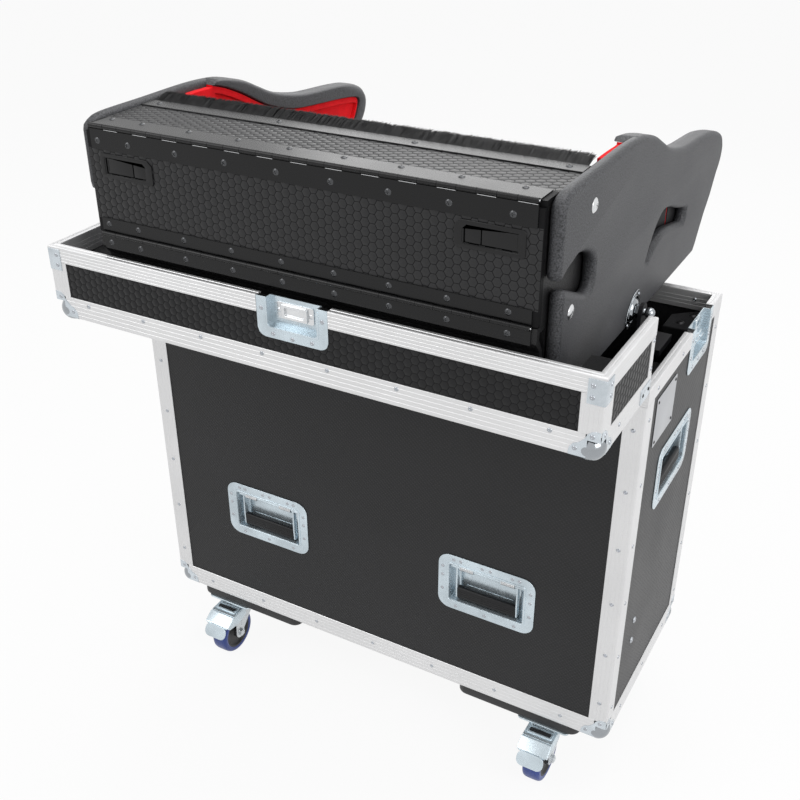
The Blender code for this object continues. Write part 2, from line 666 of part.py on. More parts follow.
bar_outline = bar_top + [(PIN_Y - bar_half, BAR_LOW), (PIN_Y + bar_half, BAR_LOW)]
bar = plate([bar_outline, ring(NECK_R + GAP, PIN_Y, PIN_Z, 16)], BAR_X - BAR_T / 2, BAR_X + BAR_T / 2, FACE_RIGHT)
GAS_X = HALF_W - 0.0400
GAS_Y = PIN_Y + 0.052
GAS_R = 0.011
GAS_ROD_R = 0.005
GAS_LOW = BASE + 0.040
GAS_TOP = BASE + 0.665
ARM_LOW = BASE + 0.728
ARM_TOP = BASE + 0.740
cylinder = rod(GAS_R, GAS_LOW, GAS_TOP, shift(GAS_X, GAS_Y, 0), sides=16)
bore = rod(GAS_ROD_R + GAP, GAS_LOW + 0.020, GAS_TOP + 0.01, shift(GAS_X, GAS_Y, 0), sides=16)
CLAMP_IN = GAS_X - 0.0075
CLAMP_H = 0.025
clamps = [box((CLAMP_IN, PIN_Y + bar_half, z), (SIDE_IN - GAP, GAS_Y - GAS_R / 2, z + CLAMP_H))
          for z in (GAS_LOW + 0.02, GAS_TOP - 0.08)]
guide = cut(join(guide, [cylinder] + clamps), [bore])
pair("lift_guide", guide, "black_metal")
ROD_LOW = BASE + 0.075
gas_rod = rod(GAS_ROD_R, ROD_LOW, ARM_LOW + 0.005, shift(GAS_X, GAS_Y, 0), sides=16)
arm = box((BAR_X, PIN_Y - 0.010, ARM_LOW), (GAS_X + 0.008, GAS_Y + 0.008, ARM_TOP))
pair("lift_bar", join(bar, [arm, gas_rod]), "zinc_plate", "lift")

# Corner blocks inside the back corners, inner corner chamfered
BLOCK_TOP = BASE + 0.706
block_x0 = CHEEK_OUT + 0.013
block_x1 = SIDE_OUT - LATCH_DEPTH - SHEET - GAP
block_y0 = BACK - 0.104
block_y1 = PANEL_BACK - PLY - GAP
block_outline = [(block_x0, block_y0), (block_x1, block_y0), (block_x1, block_y1),
                 (block_x0 + 0.040, block_y1), (block_x0, block_y1 - 0.036)]
block = plate([block_outline], BASE + 0.600, BLOCK_TOP, edge=0.002, rounds=1)
pair("corner_block", block, "black_carpet")


# Tray: plywood shell open at the top and the back, in a frame of its own
tray_low = TRAY_BOTTOM + SKIN
tray_floor_top = tray_low + PLY
tray_wall_top = TRAY_RIM - SKIN
tray_front_out = TRAY_FRONT + SKIN
tray_front_in = tray_front_out + PLY
tray_shell = box((-SIDE_OUT, tray_front_out, tray_low), (SIDE_OUT, TRAY_BACK - SKIN, tray_wall_top))
tray_room = box((-SIDE_IN, tray_front_in, tray_floor_top), (SIDE_IN, TRAY_BACK + 0.05, tray_wall_top + 0.05))
tray_shell = cut(tray_shell, [tray_room, placed(latch_hole(TRAY_LATCH_WELL), tray_latch_place)])
node("tray_shell", tray_shell, "laminate_hex", "tray")
tray_frame = frame_shell((-HALF_W, TRAY_FRONT, TRAY_BOTTOM), (HALF_W, TRAY_BACK, TRAY_RIM),
                         TRAY_FOOT_LEG, TRAY_POST_LEG, TRAY_POST_LEG, True)
tray_frame = cut(tray_frame, [placed(latch_notch(), tray_latch_place)])
TRAY_REACH = 0.046
tray_cap = ball_corner(TRAY_REACH)
tray_cap_places = [shift(sx * HALF_W, TRAY_FRONT, TRAY_BOTTOM) @ Matrix.Diagonal((-sx, 1, 1, 1)) for sx in (-1, 1)]
tray_nicks = [placed(box((-0.01,) * 3, (nick,) * 3), p) for p in tray_cap_places]
tray_frame = join(cut(tray_frame, tray_nicks), [placed(tray_cap, p) for p in tray_cap_places])
forward_low = Matrix(((-1, 0, 0, 0), (0, -1, 0, 0), (0, 0, 1, 0), (0, 0, 0, 1)))
leaf_low = TRAY_BOTTOM - TRAY_PIN_Z - LEAF_T + 0.0005
moving_leaf = hinge_leaf(TRAY_KNUCKLES, TRAY_PITCH, 1, TRAY_PIN_R, TRAY_PIN_R + 0.0010, 0.034, leaf_low)
tray_frame = join(tray_frame, [placed(moving_leaf, hinge_place @ forward_low)])
node("tray_frame", tray_frame, "aluminium_satin", "tray")
node("tray_latch_keeper", placed(tray_keeper, tray_latch_place), "zinc_plate", "tray")
foam = box((CHEEK_OUT + 0.020, tray_front_in + 0.004, tray_floor_top + GAP),
           (SIDE_IN - GAP, FRONT - 0.090, TRAY_RIM - RIM_INNER - GAP))
foam = eased(foam, 0.004, 2)
pair("tray_foam_block", foam, "black_foam", "tray")

# Cheek: moulded side board with a rolled edge, cut for a hand hole and a curved slot
top_run = [(-0.178, 1.0870), (-0.150, 1.0935), (-0.050, 1.0940), (0.060, 1.0945), (0.128, 1.0905),
           (0.162, 1.0845), (0.205, 1.0720), (0.248, 1.0525), (0.287, 1.0350), (0.333, 1.0210),
           (0.392, 1.0085), (0.445, 1.0030), (0.525, 0.9970), (0.593, 0.9890), (0.632, 0.9790)]
nose_run = [(0.632, 0.9790), (0.658, 0.9680), (0.6735, 0.9480), (CRADLE_REACH, 0.9310), (0.668, 0.9120),
            (0.646, 0.8950)]
under_run = [(0.602, 0.8580), (0.574, 0.8310), (0.553, 0.8040), (0.538, 0.7830), (0.524, 0.7690)]
front_run = [(-0.162, 0.769), (-0.173, 0.780), (-0.173, 0.954)]
hand_run = [(-0.160, 0.954), (-0.083, 0.919), (-0.060, 0.914), (-0.049, 0.926), (-0.050, 0.955),
            (-0.066, 0.974), (-0.092, 0.986), (-0.119, 0.991), (-0.161, 0.980)]
nose_top = [(-0.190, 0.978), (-0.190, 1.076)]


def world(points):
    return [(FRONT + y, BASE + z) for y, z in points]


top_line = world(smooth(top_run, 2))
nose_line = world(smooth(nose_run, 2))
upper_line = top_line + nose_line[1:]
outline = upper_line + world(under_run + front_run + hand_run + nose_top)
slot_top = [(0.210, 0.862), (0.226, 0.884), (0.250, 0.908), (0.283, 0.924), (0.330, 0.919), (0.380, 0.902),
            (0.424, 0.889)]
slot_low = [(0.431, 0.878), (0.424, 0.862), (0.345, 0.881), (0.300, 0.887), (0.255, 0.879), (0.224, 0.860)]
slot = world(smooth(slot_top, 2) + slot_low)
cheek_board = plate([outline, slot], CHEEK_IN, CHEEK_OUT, FACE_RIGHT, edge=CHEEK_EASE, rounds=1)

# Rolled lip over the liner: it grows from nothing behind the housing and turns down round the nose
LIP_SINK = 0.0006
LIP_EASE = 0.003
LIP_START = FRONT + 0.106
lip_run = [(0.106, 1.0840), (0.144, 1.0720), (0.192, 1.0510), (0.236, 1.0280), (0.275, 1.0100),
           (0.330, 0.9930), (0.374, 0.9840), (0.451, 0.9760), (0.533, 0.9690), (0.600, 0.9610)]
lip_nose = [(0.616, 0.9530), (0.617, 0.9410), (0.606, 0.9240), (0.592, 0.9060)]
lip_top = beside([p for p in upper_line if p[0] > LIP_START], LIP_SINK)
lip_low = world(smooth(lip_run, 2) + lip_nose)
lip_band = plate([lip_top + list(reversed(lip_low))], CHEEK_IN - LIP_W, CHEEK_IN + CHEEK_T / 2, FACE_RIGHT,
                 edge=LIP_EASE, rounds=1)
cheek = join(cheek_board, [lip_band])
pair("cheek", cheek, "grey_plastic", "cradle", 40)

# Liner: felt faced pad inside each cheek, full height ahead of the lip, with a raised rim round
# a shallow pocket behind
PAD_START = FRONT + 0.022
PAD_DROP = 0.0015
LIP_ROOM = 0.0012
POCKET_RIM = 0.012
POCKET_DEPTH = 0.008
pan_edge_top = PAN_TOP - PAN_STEP
pad_end = LIP_START - LIP_ROOM
pad_line = [p for p in top_line if PAD_START < p[0] < pad_end]
pad_line = [(PAD_START, pad_line[0][1])] + pad_line + [(pad_end, pad_line[-1][1])]
liner_top = beside(lip_low, LIP_ROOM)[1:]
liner_low = world([(0.560, 0.860), (0.545, 0.826), (0.524, 0.796)])
liner_outline = beside(pad_line, PAD_DROP) + [(pad_end, lip_low[0][1])] + liner_top + liner_low + \
                [(liner_low[-1][0], pan_edge_top + GAP), (PAD_START, pan_edge_top + GAP)]
liner_in = CHEEK_IN - GAP - LINER_T
liner = plate([liner_outline], liner_in, CHEEK_IN - GAP, FACE_RIGHT)
pocket_top = [p for p in beside(lip_low, LIP_ROOM + POCKET_RIM)[1:-4] if p[0] < FRONT + 0.590]
pocket_low = world([(0.598, 0.943), (0.592, 0.930), (0.574, 0.904), (0.546, 0.856), (0.524, 0.820),
                    (0.510, 0.806), (0.125, 0.806), (0.112, 0.830)])
pocket = plate([pocket_top + pocket_low], liner_in - BEYOND, liner_in + POCKET_DEPTH, FACE_RIGHT)
liner = cut(liner, [pocket])
pair("cheek_liner", liner, "red_felt", "cradle")

# Cradle pan: base board under the console, lowered a step at its ends under the liners, with
# upright wings behind the housing panels
WING_T = 0.013
WING_FRONT = FRONT - 0.160
WING_BACK = FRONT + 0.021
WING_STEP = FRONT - 0.172
STEP_LOW = PAN_TOP + 0.050
STEP_TOP = PAN_TOP + 0.110
MELD = 0.001
wing_x = CHEEK_IN - GAP
deck_x = liner_in - MELD
pan = box((-wing_x, WING_FRONT - 0.003, PAN_TOP - PAN_T), (wing_x, PAN_BACK, pan_edge_top))
deck = box((-deck_x, WING_FRONT - 0.003, PAN_TOP - PAN_T + MELD), (deck_x, PAN_BACK, PAN_TOP))
wing_top = HOUSE_TOP - HOUSE_PLY - GAP
wing_steps = [(WING_FRONT, PAN_TOP - PAN_T / 2, STEP_LOW + MELD), (WING_STEP, STEP_LOW, STEP_TOP + MELD),
              (HOUSE_FRONT + HOUSE_PLY + GAP, STEP_TOP, wing_top)]
wing_spans = [(-wing_x, WING_T - wing_x), (wing_x - WING_T, wing_x)]
wings = [box((x0, y, low), (x1, WING_BACK, high)) for x0, x1 in wing_spans for y, low, high in wing_steps]

# Sill below the cable housing: fixed strip that slopes under to the pan
SILL_BEND = BASE + 0.866
sill_top = HOUSE_LOW - 0.0010
sill_back = HOUSE_FRONT + HOUSE_PLY
sill_outline = [(HOUSE_FRONT, sill_top), (HOUSE_FRONT, SILL_BEND + 0.018), (HOUSE_FRONT + 0.014, SILL_BEND),
                (WING_STEP, PAN_TOP - PAN_T + MELD), (WING_FRONT, PAN_TOP - PAN_T + MELD),
                (WING_FRONT, PAN_TOP + 0.012), (HOUSE_FRONT + 0.0225, SILL_BEND),
                (sill_back, SILL_BEND + 0.022), (sill_back, sill_top)]
sill = plate([sill_outline], -HOUSE_HALF, HOUSE_HALF, FACE_RIGHT)
node("cradle_pan", join(pan, [deck] + wings + [sill]), "black_carpet", "cradle")

# Pivot pins: dished flange, collar, neck and ball end on each cheek
flange_turn = math.radians(40)
flange = plate([ring(0.037, PIN_Y, PIN_Z, 16, 0.66, flange_turn)], CHEEK_OUT + GAP, CHEEK_OUT + GAP + 0.002,
               FACE_RIGHT, edge=0.0005, rounds=0)
pin_line = [(0, CHEEK_OUT + 0.0010), (0.0200, CHEEK_OUT + 0.0010), (0.0165, CHEEK_OUT + 0.0065),
            (0.0115, CHEEK_OUT + 0.0085), (0.0115, BAR_X - BAR_T / 2 - GAP),
            (NECK_R, BAR_X - BAR_T / 2 - GAP), (NECK_R, BALL_X), (0, BALL_X)]
pin_turn = turned(pin_line, 16, shift(0, PIN_Y, PIN_Z) @ FACE_RIGHT)
pin_ball = ball(BALL_R, shift(BALL_X, PIN_Y, PIN_Z) @ FACE_RIGHT, 14)
pin = join(flange, [pin_turn, pin_ball])
pair("pivot_pin", pin, "zinc_plate", "cradle")

# Slam latch: recessed bezel in the housing front with a swinging paddle
BEZEL_W = 0.105
BEZEL_H = 0.040
PADDLE_W = 0.054
PADDLE_H = 0.0240
PADDLE_T = 0.003
PADDLE_U = -0.0150
BEZEL_X = HOUSE_HALF - 0.0755
BEZEL_Z = BASE + 1.024
bezel_flange = plate([rounded(BEZEL_W, BEZEL_H, 0.004, steps=2)], GAP, SHEET + GAP)
bezel_back = box((-0.046, -0.0145, -HOUSE_PLY), (0.046, 0.0145, SHEET))
bezel_well = box((PADDLE_U - PADDLE_W / 2 - GAP, -PADDLE_H / 2 - GAP, -0.0075),
                 (PADDLE_U + PADDLE_W / 2 + 0.0008, PADDLE_H / 2 + GAP, 0.01))
bezel = cut(join(bezel_flange, [bezel_back]), [bezel_well])
bezel_hole = box((-0.046 - GAP, -0.0145 - GAP, -0.02), (0.046 + GAP, 0.0145 + GAP, 0.01))
PADDLE_PIN_U = PADDLE_U + PADDLE_W / 2 - 0.002
paddle = box((PADDLE_U - PADDLE_W / 2, -PADDLE_H / 2, -PADDLE_T), (PADDLE_U + PADDLE_W / 2, PADDLE_H / 2, 0))
paddle = eased(paddle, 0.0005, 1)
bezel_places = {"left": shift(-BEZEL_X, HOUSE_FRONT, BEZEL_Z) @ FACE_FRONT,
                "right": shift(BEZEL_X, HOUSE_FRONT, BEZEL_Z) @ FACE_FRONT @ MIRROR_X}
PANEL_TOP = HOUSE_TOP - HOUSE_PLY - GAP
panel_low = HOUSE_LOW + 0.0010
housing_front = box((-HOUSE_HALF, HOUSE_FRONT, panel_low), (HOUSE_HALF, HOUSE_FRONT + HOUSE_PLY, PANEL_TOP))
housing_front = cut(housing_front, [placed(bezel_hole, p) for p in bezel_places.values()])
node("housing_front_panel", housing_front, "laminate_hex", "front_panel")
for side, place in bezel_places.items():
    joint("paddle_" + side, *(place @ vec(PADDLE_PIN_U, 0, -PADDLE_T / 2)), "front_panel")
    node("slam_latch_bezel_" + side, placed(bezel, place), "black_plastic", "front_panel")
    node("slam_latch_paddle_" + side, placed(paddle, place), "black_plastic", "paddle_" + side)

# Piano hinges of the cable housing
up_front = Matrix(((1, 0, 0, 0), (0, 0, 1, 0), (0, 1, 0, 0), (0, 0, 0, 1)))
down_back = Matrix(((1, 0, 0, 0), (0, 0, 1, 0), (0, -1, 0, 0), (0, 0, 0, 1)))
low_place = shift(0, LOW_PIN_Y, HOUSE_LOW)
leaf_back = HOUSE_FRONT - GAP - LEAF_T - LOW_PIN_Y
low_near = KNUCKLE_R + 0.0003
upper_leaf = hinge_leaf(KNUCKLES, KNUCKLE_PITCH, 0, KNUCKLE_R, low_near, 0.026, leaf_back)
sill_leaf = hinge_leaf(KNUCKLES, KNUCKLE_PITCH, 1, KNUCKLE_R, low_near, 0.027, leaf_back)
node("sill_hinge_leaf", placed(sill_leaf, low_place @ down_back), "black_metal", "cradle")
top_place = shift(0, TOP_PIN_Y, TOP_PIN_Z)
front_leaf_back = HOUSE_FRONT - GAP - LEAF_T - TOP_PIN_Y
front_leaf = hinge_leaf(KNUCKLES, KNUCKLE_PITCH, 0, KNUCKLE_R, low_near, 0.0375, front_leaf_back)
node("front_low_hinge_leaf", placed(upper_leaf, low_place @ up_front), "black_metal", "front_panel")
node("front_top_hinge_leaf", placed(front_leaf, top_place @ down_back), "black_metal", "front_panel")
top_leaf_low = HOUSE_TOP + GAP - TOP_PIN_Z
top_leaf = hinge_leaf(KNUCKLES, KNUCKLE_PITCH, 1, KNUCKLE_R, low_near, 0.046, top_leaf_low)
node("top_hinge_leaf", placed(top_leaf, top_place), "black_metal", "top_panel")

# Housing top panel with the clamping strip and the brush along its back edge
TOP_START = TOP_PIN_Y + KNUCKLE_R + 0.0010
TOP_END = FRONT - 0.0450
BRUSH_BACK = FRONT - 0.0370
node("housing_top_panel", box((-HOUSE_HALF, TOP_START, HOUSE_TOP - HOUSE_PLY),
                              (HOUSE_HALF, TOP_END, HOUSE_TOP)), "laminate_hex", "top_panel")
strip = box((-HOUSE_HALF + 0.001, FRONT - 0.069, HOUSE_TOP + GAP),
            (HOUSE_HALF - 0.001, FRONT - 0.0365, HOUSE_TOP + GAP + 0.002))
node("brush_strip", eased(strip, 0.0006, 1), "black_metal", "top_panel")

# Brush: one row of tapered strands standing on a slim backing, tips spread by a fixed seed
STRANDS = 300
STRAND_LENGTH = 0.040
STRAND_RISE = 0.016
BRUSH_HALF = HOUSE_HALF - 0.0055
BRUSH_T = 0.0016
seed = random.Random(7)
bm = bmesh.new()
brush_low = HOUSE_TOP - BRUSH_T
bmesh.ops.create_cube(bm, size=1.0, matrix=shift(0, (TOP_END + GAP + BRUSH_BACK) / 2, brush_low + BRUSH_T / 2)
                      @ Matrix.Diagonal((2 * BRUSH_HALF, BRUSH_BACK - TOP_END - GAP, BRUSH_T, 1)))
long_edges = [e for e in bm.edges if all(abs(v.co.y - BRUSH_BACK) < 1e-6 for v in e.verts)
              and abs(e.verts[0].co.x - e.verts[1].co.x) > BRUSH_HALF]
bmesh.ops.subdivide_edges(bm, edges=long_edges, cuts=STRANDS - 1, use_grid_fill=False)
roots = [f for f in bm.faces if all(abs(v.co.y - BRUSH_BACK) < 1e-6 for v in f.verts)]
tips = bmesh.ops.poke(bm, faces=roots)["verts"]
tips.sort(key=lambda v: v.co.x)
for tip in tips:
    tip.co += vec(seed.uniform(-0.0004, 0.0004), STRAND_LENGTH + seed.uniform(-0.004, 0.003),
                  STRAND_RISE + seed.uniform(-0.003, 0.003))
node("cable_brush", from_bm(bm, "brush"), "black_foam", "top_panel")

for helper in list(CUTTERS.objects):
    bpy.data.objects.remove(helper, do_unlink=True)
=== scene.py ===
import json
import math

import bmesh
import bpy
from mathutils import Matrix, Vector

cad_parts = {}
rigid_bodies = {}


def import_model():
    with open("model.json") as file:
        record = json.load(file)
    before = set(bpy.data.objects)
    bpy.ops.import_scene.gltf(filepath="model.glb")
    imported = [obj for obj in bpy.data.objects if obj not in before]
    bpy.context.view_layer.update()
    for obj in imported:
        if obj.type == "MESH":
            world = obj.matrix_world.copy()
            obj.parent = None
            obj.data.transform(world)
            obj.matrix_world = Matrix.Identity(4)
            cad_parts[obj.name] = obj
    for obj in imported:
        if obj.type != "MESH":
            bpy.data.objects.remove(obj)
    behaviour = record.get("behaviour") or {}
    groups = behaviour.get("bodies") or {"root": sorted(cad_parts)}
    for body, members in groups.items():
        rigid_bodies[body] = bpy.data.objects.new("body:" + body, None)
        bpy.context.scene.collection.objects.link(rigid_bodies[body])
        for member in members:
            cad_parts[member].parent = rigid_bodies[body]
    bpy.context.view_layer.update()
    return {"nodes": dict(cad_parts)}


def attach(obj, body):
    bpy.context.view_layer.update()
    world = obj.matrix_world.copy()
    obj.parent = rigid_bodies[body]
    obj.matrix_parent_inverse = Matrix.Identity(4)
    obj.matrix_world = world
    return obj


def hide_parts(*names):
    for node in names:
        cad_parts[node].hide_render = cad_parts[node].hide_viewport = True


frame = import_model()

# Body panels. Birch plywood faced with a black laminate that is pressed into faint dots on a diagonal
# grid. The panels are slotted into the aluminium edging and cut out for the handles and latches.
HALF_W = 0.5
FRONT, BACK = -0.227, 0.195
BASE, RIM = 0.155, 0.899
PANEL_STEP = 0.0018
PANEL_X = HALF_W - PANEL_STEP
ENDS = ((FRONT, 1), (BACK, -1))
UP = (0, 0, 1)


# Turn that lays local X, Y and Z along three ways of the case
def axes(*ways):
    return Matrix(ways).transposed().to_4x4()


FACE_FRONT = axes((1, 0, 0), UP, (0, -1, 0))
FACE_RIGHT = axes((0, 1, 0), UP, (1, 0, 0))
FACE_LEFT = axes((0, -1, 0), UP, (-1, 0, 0))
FACE_UP = Matrix.Identity(4)
MIRROR_X = Matrix.Diagonal((-1, 1, 1, 1))
scratch = bpy.data.collections.new("scratch")
bpy.context.scene.collection.children.link(scratch)


def shift(x, y, z):
    return Matrix.Translation((x, y, z))


# Node with its settings; a feed that is a socket is linked, any other is set as the value
def add(tree, kind, feeds=None, **settings):
    item = tree.nodes.new(kind)
    for key, value in settings.items():
        setattr(item, key, value)
    for key, value in (feeds or {}).items():
        if isinstance(value, bpy.types.NodeSocket):
            tree.links.new(value, item.inputs[key])
        else:
            item.inputs[key].default_value = value
    return item


# Result of one sum in a node tree; each value is a socket or a number
def reckon(tree, operation, *values, **settings):
    return add(tree, "ShaderNodeMath", dict(enumerate(values)), operation=operation, **settings).outputs[0]


def sockets(tree, inputs, outputs):
    for label, kind, value in inputs:
        socket = tree.interface.new_socket(label, in_out="INPUT", socket_type="NodeSocket" + kind)
        if value is not None:
            socket.default_value = value
    for label, kind in outputs:
        tree.interface.new_socket(label, in_out="OUTPUT", socket_type="NodeSocket" + kind)
    return tree.nodes.new("NodeGroupInput").outputs, tree.nodes.new("NodeGroupOutput").inputs


# Surface effect shared by all materials: slow patches of tone and gloss, and a fine grain
surface = bpy.data.node_groups.new("surface", "ShaderNodeTree")
given, made = sockets(surface, [
    ("Colour", "Color", (0.5, 0.5, 0.5, 1)), ("Spread", "Float", 0.1), ("Patch", "Float", 8.0),
    ("Grain", "Float", 900.0), ("Speckle", "Float", 0.1), ("Roughness", "Float", 0.5),
    ("Gloss Spread", "Float", 0.1), ("Stretch", "Vector", (1, 1, 1))],
    [("Colour", "Color"), ("Roughness", "Float"), ("Height", "Float")])
own = add(surface, "ShaderNodeTexCoord").outputs["Object"]
drawn = add(surface, "ShaderNodeVectorMath", {0: own, 1: given["Stretch"]}, operation="MULTIPLY").outputs[0]
patches = add(surface, "ShaderNodeTexNoise", {"Vector": own, "Scale": given["Patch"], "Detail": 5.0})
patches = patches.outputs["Fac"]
grain = add(surface, "ShaderNodeTexNoise", {"Vector": drawn, "Scale": given["Grain"], "Detail": 3.0})
grain = grain.outputs["Fac"]
low = reckon(surface, "SUBTRACT", 1.0, given["Spread"])
high = reckon(surface, "ADD", 1.0, given["Spread"])
tone = add(surface, "ShaderNodeMapRange", {"Value": patches, "From Min": 0.3, "From Max": 0.7,
                                           "To Min": low, "To Max": high}).outputs[0]
dust = reckon(surface, "ADD", grain, -0.5)
speck = reckon(surface, "MULTIPLY_ADD", dust, given["Speckle"], tone)
tinted = add(surface, "ShaderNodeVectorMath", {0: given["Colour"], "Scale": speck}, operation="SCALE")
drift = reckon(surface, "ADD", patches, -0.5)
rough = reckon(surface, "MULTIPLY_ADD", drift, given["Gloss Spread"], given["Roughness"])
rough = reckon(surface, "MULTIPLY_ADD", dust, given["Gloss Spread"], rough, use_clamp=True)
surface.links.new(tinted.outputs[0], made["Colour"])
surface.links.new(rough, made["Roughness"])
surface.links.new(grain, made["Height"])


# Material: one Principled shader, fed by the shared surface effect
def material(name, colour, metallic, roughness, spread, patch, grain, speckle, gloss, bump, depth=0.0003,
             stretch=(1, 1, 1), specular=0.5, sheen=0.0):
    item = bpy.data.materials.new(name)
    item.use_nodes = True
    tree = item.node_tree
    shader = tree.nodes["Principled BSDF"]
    for label, value in (("Metallic", metallic), ("Specular IOR Level", specular), ("Sheen Weight", sheen)):
        shader.inputs[label].default_value = value
    effect = add(tree, "ShaderNodeGroup", {
        "Colour": (*colour, 1), "Spread": spread, "Patch": patch, "Grain": grain, "Speckle": speckle,
        "Roughness": roughness, "Gloss Spread": gloss, "Stretch": stretch}, node_tree=surface).outputs
    relief = add(tree, "ShaderNodeBump", {"Height": effect["Height"], "Strength": bump, "Distance": depth})
    tree.links.new(effect["Colour"], shader.inputs["Base Color"])
    tree.links.new(effect["Roughness"], shader.inputs["Roughness"])
    tree.links.new(relief.outputs["Normal"], shader.inputs["Normal"])
    return item


laminate = material("laminate", (0.015, 0.015, 0.016), 0.0, 0.42, 0.16, 5.0, 500.0, 0.9, 0.16, 0.35,
                    0.0002, specular=0.28)


# Finished piece at the origin: its place is in its mesh
def piece(name, mesh, body, look, nodes=(), sharp=35):
    mesh.name = name
    item = bpy.data.objects.new(name, mesh)
    bpy.context.scene.collection.objects.link(item)
    mesh.materials.clear()
    mesh.materials.append(look)
    mesh.shade_smooth()
    mesh.set_sharp_from_angle(angle=math.radians(sharp))
    if nodes:
        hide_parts(*nodes)
    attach(item, body)
    return item


# CAD piece whose shape stays, in a better material
def dressed(name, look):
    slots = frame["nodes"][name].data.materials
    slots.clear()
    slots.append(look)


# Mesh of a closed form, its faces turned outwards
def from_bm(bm):
    mesh = bpy.data.meshes.new("mesh")
    bmesh.ops.recalc_face_normals(bm, faces=bm.faces)
    if bm.calc_volume(signed=True) < 0:
        bmesh.ops.reverse_faces(bm, faces=bm.faces)
    bm.to_mesh(mesh)
    bm.free()
    return mesh


def to_bm(mesh):
    bm = bmesh.new()
    bm.from_mesh(mesh)
    return bm


# Mesh whose coinciding points are made one
def merged(mesh, distance=0.00001):
    bm = to_bm(mesh)
    bmesh.ops.remove_doubles(bm, verts=bm.verts, dist=distance)
    return from_bm(bm)


def temp(content):
    item = bpy.data.objects.new("temp", content)
    scratch.objects.link(item)
    return item


# Plain mesh of an object with its modifiers applied; the object goes
def baked(item):
    bpy.context.view_layer.update()
    graph = bpy.context.evaluated_depsgraph_get()
    mesh = bpy.data.meshes.new_from_object(item.evaluated_get(graph))
    bpy.data.objects.remove(item, do_unlink=True)
    return mesh


# Block between two opposite corners
def box(one, other):
    bm = bmesh.new()
    size = [abs(b - a) for a, b in zip(one, other)]
    middle = [(a + b) / 2 for a, b in zip(one, other)]
    bmesh.ops.create_cube(bm, size=1.0, matrix=shift(*middle) @ Matrix.Diagonal((*size, 1)))
    return from_bm(bm)


# Flat sheet from closed outlines, all drawn the same way round (the later ones are holes), with
# rounded rims
def plate(loops, w0, w1, place=FACE_UP, edge=0.0, rounds=2):
    curve = bpy.data.curves.new("plate", "CURVE")
    curve.dimensions = "2D"
    curve.fill_mode = "BOTH"
    curve.extrude = (w1 - w0) / 2 - edge
    curve.bevel_depth = edge
    curve.bevel_resolution = rounds
    curve.offset = -edge
    for k, loop in enumerate(loops):
        line = curve.splines.new("POLY")
        line.points.add(len(loop) - 1)
        for point, (u, v) in zip(line.points, reversed(loop) if k else loop):
            point.co = (u, v, 0, 1)
        line.use_cyclic_u = True
    mesh = merged(baked(temp(curve)), 0.000005)
    mesh.transform(place @ shift(0, 0, (w0 + w1) / 2))
    return mesh


# Rectangle outline with round corners about a middle
def rounded(width, height, radius, cu=0.0, cv=0.0, steps=6):
    points = []
    for k, (su, sv) in enumerate(((1, 1), (-1, 1), (-1, -1), (1, -1))):
        for i in range(steps + 1):
            angle = math.radians(90 * k + 90 * i / steps)
            points.append((cu + su * (width / 2 - radius) + radius * math.cos(angle),
                           cv + sv * (height / 2 - radius) + radius * math.sin(angle)))
    return points


# Boolean of one mesh with others, each applied in turn
def combine(mesh, others, operation):
    item = temp(mesh)
    helpers = [temp(other) for other in others]
    for helper in helpers:
        step = item.modifiers.new(operation, "BOOLEAN")
        step.solver = "EXACT"
        step.operation = operation
        step.object = helper
    result = baked(item)
    for helper in helpers:
        bpy.data.objects.remove(helper, do_unlink=True)
    return result


def cut(mesh, others):
    return combine(mesh, others, "DIFFERENCE")


# Several meshes in one, without changing any
def gathered(meshes):
    bm = bmesh.new()
    for mesh in meshes:
        bm.from_mesh(mesh)
    whole = bpy.data.meshes.new("mesh")
    bm.to_mesh(whole)
    bm.free()
    return whole


def placed(mesh, place):
    copy = mesh.copy()
    copy.transform(place)
    if place.determinant() < 0:
        copy.flip_normals()
    return copy


HANDLE_X = 0.245
HANDLE_Z = BASE + 0.25
SIDE_HANDLE_Y, SIDE_HANDLE_Z = FRONT + 0.21395, BASE + 0.507
SIDE_LATCH_Y = FRONT + 0.298
left_face = shift(-PANEL_X, 0, 0) @ FACE_LEFT
right_face = shift(PANEL_X, 0, 0) @ FACE_RIGHT
handle_places = {
    "front_left": shift(-HANDLE_X, FRONT + PANEL_STEP, HANDLE_Z) @ FACE_FRONT,
    "front_right": shift(HANDLE_X, FRONT + PANEL_STEP, HANDLE_Z) @ FACE_FRONT,
    "left": shift(0, SIDE_HANDLE_Y, SIDE_HANDLE_Z) @ left_face,
    "right": shift(0, SIDE_HANDLE_Y, SIDE_HANDLE_Z) @ right_face,
}
latch_places = {"left": shift(0, SIDE_LATCH_Y, RIM) @ left_face,
                "right": shift(0, SIDE_LATCH_Y, RIM) @ right_face}
well_hole = plate([rounded(0.1546, 0.0866, 0.0053)], -0.03, 0.01)
latch_hole = box((-0.0478, -0.0658, -0.02), (0.0478, 0.02, 0.02))
NICK, NICK_TALL = 0.023, 0.031
corner_nicks = [box((sx * 0.51, y - sy * 0.001, BASE - 0.01),
                    (sx * (HALF_W - NICK), y + sy * (NICK + 0.001), BASE + NICK_TALL))
                for sx in (-1, 1) for y, sy in ENDS]
BOARD_LOW, BOARD_HIGH, INNER = 0.1568, 0.8972, 0.0095
front_y, back_y = FRONT + PANEL_STEP, BACK - PANEL_STEP
panel_boxes = {
    "body_front_panel": ((-0.4884, front_y, BOARD_LOW), (0.4884, front_y + INNER, 0.891)),
    "body_back_panel": ((-0.4884, back_y - INNER, BOARD_LOW), (0.4884, back_y, BOARD_HIGH)),
    "body_side_panel_left": ((-PANEL_X, front_y, BOARD_LOW), (INNER - PANEL_X, back_y, BOARD_HIGH)),
    "body_side_panel_right": ((PANEL_X - INNER, front_y, BOARD_LOW), (PANEL_X, back_y, BOARD_HIGH)),
}

